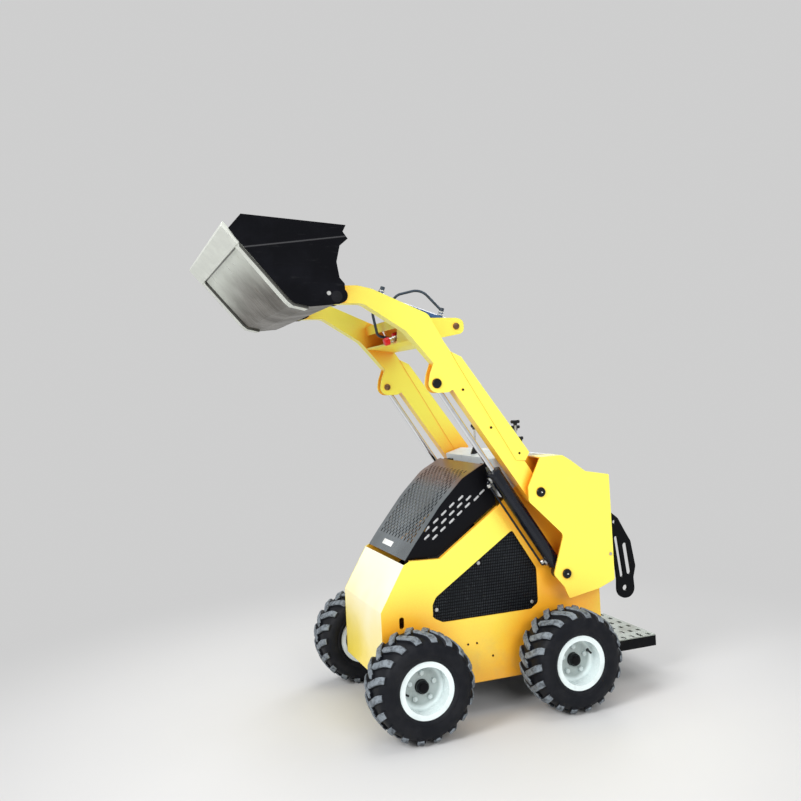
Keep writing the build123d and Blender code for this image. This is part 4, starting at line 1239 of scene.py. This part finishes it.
def gland(outer, rod):
    """Screwed collar and wiper where a rod leaves its barrel; local Z runs out along the rod."""
    profile = [
        # height, and radius over the barrel's or the rod's, in millimetres
        (-16, outer, 0), (-16, outer, 2.4), (-2, outer, 2.4), (0, outer, 1), (0, outer, -4),
        (3, outer, -6), (3, rod, 4), (6, rod, 1.2), (6, rod, 0.3), (-2, rod, 0.3), (-2, outer, -1),
        (-16, outer, 0),
    ]
    return lathe([(height * MM, radius + over * MM) for height, radius, over in profile], 40)


BARREL_RADIUS, ROD_RADIUS = 32.5 * MM, 12.5 * MM
LIFT_LENGTH, TILT_LENGTH = 585 * MM, 480 * MM
LIFT_PORTS, TILT_PORTS = (80 * MM, 560 * MM), (77 * MM, 397 * MM)
PORT_SEAT = BARREL_RADIUS - 1 * MM
# Nuts' widths over their flats and lengths.
PORT_NUT, PIPE_NUT, HOSE_NUT = (26 * MM, 10 * MM), (19 * MM, 15 * MM), (25 * MM, 9 * MM)
HOSE_NUT_UP = 14 * MM
# Where the pipe's two nuts stand: out from the cylinder's middle, and along it.
PIPE_NUTS = [(45 * MM, 88 * MM), (54 * MM, 536 * MM)]


def side_frame(base, along):
    """Local X across the machine, local Z along a cylinder, and local Y square to both."""
    along = Vector(along).normalized()
    turn = Matrix((ACROSS, along.cross(ACROSS), along)).transposed().to_4x4()
    return Matrix.Translation(base) @ turn


class LOADER_OT_cylinder_fittings(bpy.types.Operator):
    """Add glands, port nuts and pipe nuts to the three hydraulic cylinders"""
    bl_idname = "loader.cylinder_fittings"
    bl_label = "Cylinder fittings"

    def execute(self, context):
        for side in ("left", "right"):
            base = JOINTS[f"lift_cylinder_{side}_swing"]["pos_m"]
            cylinder = side_frame(Vector(base), JOINTS[f"lift_ram_{side}_slide"]["axis"])
            fittings, collar = bmesh.new(), bmesh.new()
            merge(
                collar, gland(BARREL_RADIUS, ROD_RADIUS),
                cylinder @ Matrix.Translation((0, 0, LIFT_LENGTH)),
            )
            for station in LIFT_PORTS:
                port = facing((0, -PORT_SEAT, station), (0, -1, 0))
                merge(fittings, hex_nut(*PORT_NUT), cylinder @ port)
            for out, station in PIPE_NUTS:
                pipe = facing((0, -out, station), (0, 0, 1))
                merge(fittings, hex_nut(*PIPE_NUT), cylinder @ pipe)
            body = f"lift_cylinder_{side}"
            finished(fittings, f"lift_fittings_{side}", body, "zinc_plate")
            finished(collar, f"lift_gland_{side}", body, "cylinder_enamel")
        cylinder = side_frame(TILT_BASE, JOINTS["tilt_ram_slide"]["axis"])
        fittings, collar = bmesh.new(), bmesh.new()
        merge(
            collar, gland(BARREL_RADIUS, ROD_RADIUS),
            cylinder @ Matrix.Translation((0, 0, TILT_LENGTH)),
        )
        for station in TILT_PORTS:
            port = cylinder @ facing((0, PORT_SEAT, station), (0, 1, 0))
            merge(fittings, hex_nut(*PORT_NUT), port)
            merge(fittings, hex_nut(*HOSE_NUT), port @ Matrix.Translation((0, 0, HOSE_NUT_UP)))
        finished(fittings, "tilt_fittings", "tilt_cylinder", "zinc_plate")
        finished(collar, "tilt_gland", "tilt_cylinder", "tilt_enamel")
        return {"FINISHED"}


# ------------------------------------------------------------------ controls and couplers
LEVERS = [
    # x, y, the console's top there, the handle's height and length, all in millimetres
    (60, 343, 1147, 1296, 46), (-60, 405, 1141, 1264, 46), (0, 146, 1151, 1286, 34),
    (120, 335, 1148, 1217, 30),
]
STEM_RADIUS = 5
BOOT_SINK, COLLAR_DROP = 2, 18
# Heights and radii in millimetres; a grip's heights are shares of its length.
BOOT = [
    (0, 0), (0, 24), (4, 25), (9, 19), (12, 22.5), (17, 16.5), (20, 19.5), (25, 13.5), (28, 16),
    (33, 9), (37, 6.5), (37, 0),
]
GRIP = [
    (-0.5, 0), (-0.5, 6), (-0.45, 8.4), (-0.25, 9), (0, 8), (0.25, 9), (0.45, 8.4), (0.5, 6), (0.5, 0),
]
COLLAR = [(0, 0), (0, 9), (3, 10), (10, 10), (12, 8.5), (12, 0)]
BEZEL = [(2, 25), (2, 28.5), (8, 28.5), (10, 27), (10, 25), (5, 24), (2, 25)]
DIAL = [(2, 0), (2, 25), (4.5, 25), (4.5, 0)]
BUTTON = [(2, 0), (2, 9), (5, 9), (6, 8), (6, 6), (9, 6), (10, 5), (10, 0)]
KEY_BARREL = [(2, 0), (2, 15), (5, 15), (6, 14), (6, 11), (12, 10.5), (13, 9.5), (13, 0)]
SLOPE_FOOT, SLOPE_TOP = placed(0, 560, 1060), placed(0, 420, 1140)
CONSOLE_PLATE = (330 * MM, 118 * MM, 3 * MM)
# x and place up the slope, in millimetres from the console plate's middle.
GAUGES = [(-105, 6), (-35, 6)]
BUTTONS = [(40, 24), (40, -14), (75, 24), (75, -14)]
KEY_SWITCH = (120, 4)
KEY_SIZE, KEY_UP = (3 * MM, 15 * MM, 24 * MM), 22
NEEDLE_SIZE, NEEDLE_UP, NEEDLE_OUT, NEEDLE_TURN = (1.6 * MM, 19 * MM, 1 * MM), 5.6, 7 * MM, 0.6
TICK_SIZE, TICK_UP, TICK_OUT, TICK_TURN = (1.2 * MM, 4 * MM, 0.8 * MM), 5, 20 * MM, 0.52
TICKS = range(-4, 5)


def on_slope(x, up, height):
    """Local Z out of the console's sloping face and local Y up it, in millimetres from its middle."""
    up_slope = (SLOPE_TOP - SLOPE_FOOT).normalized()
    out = up_slope.cross(ACROSS)
    turn = Matrix((up_slope.cross(out), up_slope, out)).transposed().to_4x4()
    middle = (SLOPE_FOOT + SLOPE_TOP) / 2
    return Matrix.Translation(middle) @ turn @ Matrix.Translation((x * MM, up * MM, height * MM))


def dial_mark(place, turn, reach):
    """A mark's place on a dial: turned about the dial's middle and moved outwards."""
    return place @ Matrix.Rotation(turn, 4, "Z") @ Matrix.Translation((0, reach, 0))


class LOADER_OT_controls(bpy.types.Operator):
    """Model the levers with their boots and grips, and the instrument plate"""
    bl_idname = "loader.controls"
    bl_label = "Controls"

    def execute(self, context):
        grips, stems, plate, bezels, faces, marks = (bmesh.new() for _ in range(6))
        for x, y, foot, top, length in LEVERS:
            stem = [(0, 0), (0, STEM_RADIUS), (top - foot, STEM_RADIUS), (top - foot, 0)]
            grip = [(share * length, radius) for share, radius in GRIP]
            merge(grips, turned(BOOT), Matrix.Translation(placed(x, y, foot - BOOT_SINK)))
            merge(stems, turned(stem, 16), Matrix.Translation(placed(x, y, foot)))
            merge(grips, turned(grip, 24), facing(placed(x, y, top), (0, 1, 0)))
            merge(grips, turned(COLLAR, 20), Matrix.Translation(placed(x, y, top - COLLAR_DROP)))
        merge(plate, block(CONSOLE_PLATE, 0.8 * MM), on_slope(0, 0, 1))
        for place in GAUGES:
            merge(bezels, turned(BEZEL, 40), on_slope(*place, 0))
            merge(faces, turned(DIAL, 32), on_slope(*place, 0))
            needle = dial_mark(on_slope(*place, NEEDLE_UP), NEEDLE_TURN, NEEDLE_OUT)
            merge(marks, block(NEEDLE_SIZE), needle)
            for tick in TICKS:
                mark = dial_mark(on_slope(*place, TICK_UP), tick * TICK_TURN, TICK_OUT)
                merge(marks, block(TICK_SIZE), mark)
        for place in BUTTONS:
            merge(bezels, turned(BUTTON, 24), on_slope(*place, 0))
        merge(marks, turned(KEY_BARREL), on_slope(*KEY_SWITCH, 0))
        merge(marks, block(KEY_SIZE, 1 * MM), on_slope(*KEY_SWITCH, KEY_UP))
        finished(
            grips, "lever_grips", "root", "grip_plastic", replaces=["control_levers"],
        )
        finished(stems, "lever_stems", "root", "zinc_plate")
        finished(plate, "instrument_plate", "root", "black_enamel")
        finished(bezels, "instrument_bezels", "root", "grip_plastic")
        finished(faces, "instrument_faces", "root", "dial_face")
        finished(marks, "instrument_marks", "root", "grip_plastic")
        return {"FINISHED"}


COUPLERS = [
    # x, y and z of the cap's middle, cap radius, in millimetres
    (120, -332, 1707, 19), (70, -272, 1738, 16),
]
COUPLER_AXIS = Vector((0, -0.951, -0.309))
COUPLER_ROOT_Y, COUPLER_ROOT_SIZE = -170, 10
CAP_HALF, CAP_LIP = 13, 1.6
CAP_RIBS, RIB_SIZE = 14, (2.2 * MM, 2.4 * MM, 15 * MM)
COUPLER_NUT, COUPLER_NUT_BACK = (25 * MM, 12 * MM), 65 * MM
# Heights in millimetres and radii over the rim's, from the cap's inner end and its outer end.
CAP_INNER = [(0, -1), (1, 0), (2, CAP_LIP), (5, CAP_LIP), (6, 0)]
CAP_OUTER = [(-3, 0), (-1, -2), (0, -6)]
# Heights in millimetres behind the cap, and radii.
COUPLER_SLEEVE = [(34, 10), (33, 13), (16, 13), (15, 11), (4, 11), (3, 14), (0, 14), (0, 0)]


class LOADER_OT_couplers(bpy.types.Operator):
    """Model the two auxiliary couplers and their ribbed dust caps"""
    bl_idname = "loader.couplers"
    bl_label = "Couplers"

    def execute(self, context):
        caps, bodies = bmesh.new(), bmesh.new()
        for x, y, z, radius in COUPLERS:
            place = facing(placed(x, y, z), COUPLER_AXIS)
            rim = radius - CAP_LIP
            cap = [(-CAP_HALF, 0)]
            cap += [(height - CAP_HALF, rim + over) for height, over in CAP_INNER]
            cap += [(CAP_HALF + height, rim + over) for height, over in CAP_OUTER]
            merge(caps, turned(cap + [(CAP_HALF, 0)]), place)
            for i in range(CAP_RIBS):
                spoke = place @ Matrix.Rotation(TURN * i / CAP_RIBS, 4, "Z")
                merge(caps, block(RIB_SIZE, 0.6 * MM), spoke @ Matrix.Translation((rim * MM, 0, MM)))
            reach = (COUPLER_ROOT_Y - y) / -COUPLER_AXIS.y
            sleeve = [(-CAP_HALF - behind, size) for behind, size in COUPLER_SLEEVE]
            merge(bodies, turned([(-reach, 0), (-reach, COUPLER_ROOT_SIZE)] + sleeve), place)
            merge(bodies, hex_nut(*COUPLER_NUT), place @ Matrix.Translation((0, 0, -COUPLER_NUT_BACK)))
        finished(
            caps, "dust_caps", "lift_arms", "cap_plastic", replaces=["quick_couplers"],
        )
        finished(bodies, "coupler_bodies", "lift_arms", "zinc_plate")
        return {"FINISHED"}


# ------------------------------------------------------------------ stage
CAMERA_PLACE = (3.8699, -1.5387, 1.4577)
# Azimuth, elevation and roll in degrees.
CAMERA_ANGLES = (69.119, -1.574, -2.789)
CAMERA_LENS, SENSOR = 38.384, 36.0
CAMERA_SHIFT = (-0.0215, -0.0376)


def make_camera():
    """A camera at standing eye height off the machine's left front, slightly rolled."""
    data = bpy.data.cameras.new("camera")
    data.sensor_width = SENSOR
    data.lens = CAMERA_LENS
    data.shift_x, data.shift_y = CAMERA_SHIFT
    data.clip_start, data.clip_end = 0.05, 200.0
    camera = bpy.data.objects.new("camera", data)
    azimuth, elevation, roll = (math.radians(angle) for angle in CAMERA_ANGLES)
    heading = Vector((math.sin(azimuth), -math.cos(azimuth), 0))
    back = heading * math.cos(elevation) + Vector((0, 0, math.sin(elevation)))
    right = Vector((0, 0, 1)).cross(back).normalized()
    up = back.cross(right)
    turned_right = right * math.cos(roll) + up * math.sin(roll)
    turned_up = up * math.cos(roll) - right * math.sin(roll)
    axes = Matrix((turned_right, turned_up, back)).transposed().to_4x4()
    camera.matrix_world = Matrix.Translation(CAMERA_PLACE) @ axes
    bpy.context.scene.collection.objects.link(camera)
    bpy.context.scene.camera = camera


LAMPS = [
    # name, place, aim, size across, power in watts, seen in mirrors
    ("key_light", (2.8, -5.2, 4.2), (0.1, -0.1, 0.9), 2.6, 300, True),
    ("side_light", (5.6, 0.2, 2.6), (0.0, 0.1, 0.7), 3.0, 130, False),
    ("back_light", (-4.2, 3.8, 4.4), (0.0, 0.0, 1.2), 3.0, 120, True),
    ("top_light", (0.0, 0.0, 6.0), (0.0, 0.0, 0.0), 4.0, 90, True),
]


def make_lamps(strength):
    """Soft round lamps, each pointed at its aim."""
    for name, place, aim, size, power, mirrored in LAMPS:
        data = bpy.data.lights.new(name, "AREA")
        data.shape = "DISK"
        data.size = size
        data.energy = power * strength
        lamp = bpy.data.objects.new(name, data)
        lamp.matrix_world = facing(place, Vector(place) - Vector(aim))
        lamp.visible_glossy = mirrored
        bpy.context.scene.collection.objects.link(lamp)


def seen_directly(f):
    """1 for rays from the camera, mirrors and glass, 0 for those that light the object."""
    camera, mirror, glass = (
        f.node("ShaderNodeLightPath", output=f"Is {ray} Ray") for ray in ("Camera", "Glossy", "Transmission")
    )
    return f.node("ShaderNodeMath", {"operation": "MINIMUM"}, {0: camera + mirror + glass, 1: 1.0})


FLOOR_RADIUS, FLOOR_SIDES, FLOOR_FADE = 60.0, 96, (1.0, 3.0)


def floor_finish(grey, paleness):
    """Pale floor that takes shadows near the machine and fades into the backdrop's grey."""
    f = Finish("floor_finish")
    near = min(1.0, grey * paleness)
    grained = f.mix(f.noise(3.0, 4.0), (near,) * 3, (near * 0.98,) * 3)
    shaded = f.node("ShaderNodeBsdfDiffuse", inputs={"Color": grained})
    plain = f.node("ShaderNodeEmission", inputs={"Color": opaque((grey,) * 3), "Strength": 1.0})
    coordinates = f.node("ShaderNodeTexCoord", output="Object")
    away = f.node("ShaderNodeVectorMath", {"operation": "LENGTH"}, {0: coordinates}, output="Value")
    fade = f.ramp(away, *FLOOR_FADE) * seen_directly(f)
    both = f.node("ShaderNodeMixShader", inputs={0: fade, 1: shaded, 2: plain})
    f.node("ShaderNodeOutputMaterial", inputs={"Surface": both})
    return f.material


def make_world(grey, strength):
    """Even white light, seen as the backdrop's grey."""
    world = bpy.data.worlds.new("backdrop")
    bpy.context.scene.world = world
    f = Finish("backdrop", world)
    seen = seen_directly(f)
    light = f.node("ShaderNodeBackground", inputs={"Color": (1, 1, 1, 1), "Strength": strength})
    back = f.node("ShaderNodeBackground", inputs={"Color": opaque((grey,) * 3), "Strength": 1.0})
    both = f.node("ShaderNodeMixShader", inputs={0: seen, 1: light, 2: back})
    f.node("ShaderNodeOutputWorld", inputs={"Surface": both})


class LOADER_OT_stage(bpy.types.Operator):
    """Set up the floor, the backdrop, the lamps and the camera"""
    bl_idname = "loader.stage"
    bl_label = "Stage and camera"

    def execute(self, context):
        stage = context.scene.loader_stage
        bm = bmesh.new()
        bmesh.ops.create_circle(bm, cap_ends=True, segments=FLOOR_SIDES, radius=FLOOR_RADIUS)
        mesh = bpy.data.meshes.new("floor")
        bm.to_mesh(mesh)
        bm.free()
        mesh.materials.append(floor_finish(stage.grey, stage.floor))
        floor = bpy.data.objects.new("floor", mesh)
        context.scene.collection.objects.link(floor)
        make_world(stage.grey, stage.sky)
        make_lamps(stage.lamps)
        make_camera()
        context.scene.view_settings.view_transform = "Standard"
        return {"FINISHED"}


class LOADER_OT_finishes(bpy.types.Operator):
    """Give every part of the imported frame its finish"""
    bl_idname = "loader.finishes"
    bl_label = "Finishes"

    def execute(self, context):
        for name, node in frame["nodes"].items():
            for slot in node.material_slots:
                chosen = FINISH_OF_NODE.get(name) or FINISH_OF_SLOT[slot.material.name]
                slot.material = finish(chosen)
        return {"FINISHED"}


# ------------------------------------------------------------------ settings and panel
def colour(name, description, default):
    """A colour setting."""
    return FloatVectorProperty(
        name=name, description=description, default=default, subtype="COLOR", min=0.0, max=1.0,
    )


def length(name, description, default):
    """A length setting, in metres."""
    return FloatProperty(
        name=name, description=description, default=default, unit="LENGTH", min=0.0,
    )


def level(name, description, default, **limits):
    """A plain number setting, of zero or more."""
    return FloatProperty(name=name, description=description, default=default, min=0.0, **limits)


class LoaderColours(bpy.types.PropertyGroup):
    """Colours of the machine's finishes"""
    # Lit and shaded copies of one yellow: the first is the lit tone, the lower and recessed ones painted
    # shade, the nose's pale one a painted highlight.
    yellow: colour("Yellow enamel", "Towers and arms", (0.975, 0.90, 0.11))
    yellow_low_shade: colour("Lower yellow", "Panels near the ground", (1.0, 0.78, 0.085))
    yellow_recess_shade: colour("Recessed yellow", "Corners and undersides", (0.99, 0.44, 0.025))
    nose: colour("Highlighted yellow", "Top of the nose", (0.98, 0.97, 0.78))
    black: colour("Black enamel", "Cheeks, grilles, step and bucket sides", (0.003, 0.0032, 0.0045))
    rim: colour("Rim enamel", "Wheel rims", (0.80, 0.90, 0.90))
    screen: colour("Screen paint", "Perforated hood", (0.17, 0.20, 0.22))
    cylinder: colour("Cylinder enamel", "Lift cylinders' barrels", (0.004, 0.0055, 0.010))
    # Dark blue standing for the sky's reflection in the barrel's black paint: a painted reflection.
    tilt_cylinder: colour("Tilt cylinder enamel", "Tilt cylinder's barrel", (0.035, 0.085, 0.20))
    housing: colour("Housing plastic", "Control housing", (0.60, 0.64, 0.66))
    step: colour("Step plate", "Galvanised tread", (0.36, 0.40, 0.36))
    plate_steel: colour("Bucket steel", "Bucket heel and back", (0.14, 0.122, 0.095))
    polished_steel: colour("Polished steel", "Bucket floor towards its front", (0.74, 0.78, 0.70))
    edge_steel: colour("Edge steel", "Cutting edge and wear strips", (0.86, 0.89, 0.82))
    chrome: colour("Chrome", "Cylinder rods", (0.80, 0.82, 0.84))
    zinc: colour("Zinc plate", "Bolts and fittings", (0.72, 0.73, 0.71))
    casting: colour("Cast metal", "Engine and wheel motors", (0.05, 0.05, 0.053))
    rubber: colour("Rubber", "Tyre walls and grooves", (0.006, 0.007, 0.010))
    # Lug tops: scuffed grey with a painted highlight of the sky in it.
    scuffed_lit_rubber: colour("Scuffed, highlighted rubber", "Tops of the tyres' lugs", (0.22, 0.25, 0.28))
    hose: colour("Hose", "Hydraulic hoses", (0.030, 0.045, 0.065))
    cap_red: colour("Cap red", "Coupler dust caps", (0.86, 0.015, 0.025))


class LoaderSizes(bpy.types.PropertyGroup):
    """Sizes of the modelled details"""
    lugs_a_side: IntProperty(
        name="Lugs a side", description="Tread bars on each half of a tyre", default=18, min=8, max=40,
    )
    screen_pitch: length("Screen pitch", "Distance between the hood screen's columns of slots", 21 * MM)
    screen_row: length("Screen row", "Distance between slots along the hood", 34 * MM)
    screen_slot: length("Screen slot", "Width of the hood screen's slots", 12.5 * MM)
    grille_pitch: length("Grille pitch", "Distance between the side grilles' columns", 9 * MM)
    grille_hole: length("Grille hole", "Width of the side grilles' holes", 5.4 * MM)
    thread: length("Bolt thread", "Thread of the largest bolts", 10 * MM)


class LoaderStage(bpy.types.PropertyGroup):
    """The stage the machine stands on"""
    grey: level("Backdrop grey", "Shade of the floor and backdrop", 0.62, max=1.0)
    floor: level("Floor paleness", "Floor's shade over the backdrop's", 1.1)
    sky: level("Sky light", "Strength of the even light", 0.5)
    lamps: level("Lamps", "Factor on every lamp's power", 1.0)


SETTINGS = {
    "loader_colours": LoaderColours, "loader_sizes": LoaderSizes, "loader_stage": LoaderStage,
}
OPERATORS = (
    LOADER_OT_stage, LOADER_OT_finishes, LOADER_OT_tyres, LOADER_OT_wheel_details,
    LOADER_OT_hood_screen, LOADER_OT_side_grilles, LOADER_OT_hardware, LOADER_OT_cylinder_fittings,
    LOADER_OT_controls, LOADER_OT_couplers,
)


class LOADER_PT_panel(bpy.types.Panel):
    """The looks' operators and settings"""
    bl_label = "Mini loader"
    bl_space_type = "VIEW_3D"
    bl_region_type = "UI"
    bl_category = "Mini loader"

    def draw(self, context):
        for operator in OPERATORS:
            self.layout.operator(operator.bl_idname)
        for name, group in SETTINGS.items():
            column = self.layout.column()
            for key in group.__annotations__:
                column.prop(getattr(context.scene, name), key)


def register():
    for group in SETTINGS.values():
        bpy.utils.register_class(group)
    for name, group in SETTINGS.items():
        setattr(bpy.types.Scene, name, PointerProperty(type=group))
    for shown in (*OPERATORS, LOADER_PT_panel):
        bpy.utils.register_class(shown)


def unregister():
    for shown in (LOADER_PT_panel, *reversed(OPERATORS)):
        bpy.utils.unregister_class(shown)
    for name in SETTINGS:
        delattr(bpy.types.Scene, name)
    for group in SETTINGS.values():
        bpy.utils.unregister_class(group)


def main():
    random.seed(7)
    register()
    for operator in OPERATORS:
        group, name = operator.bl_idname.split(".")
        getattr(getattr(bpy.ops, group), name)()


if __name__ == "__main__":
    main()
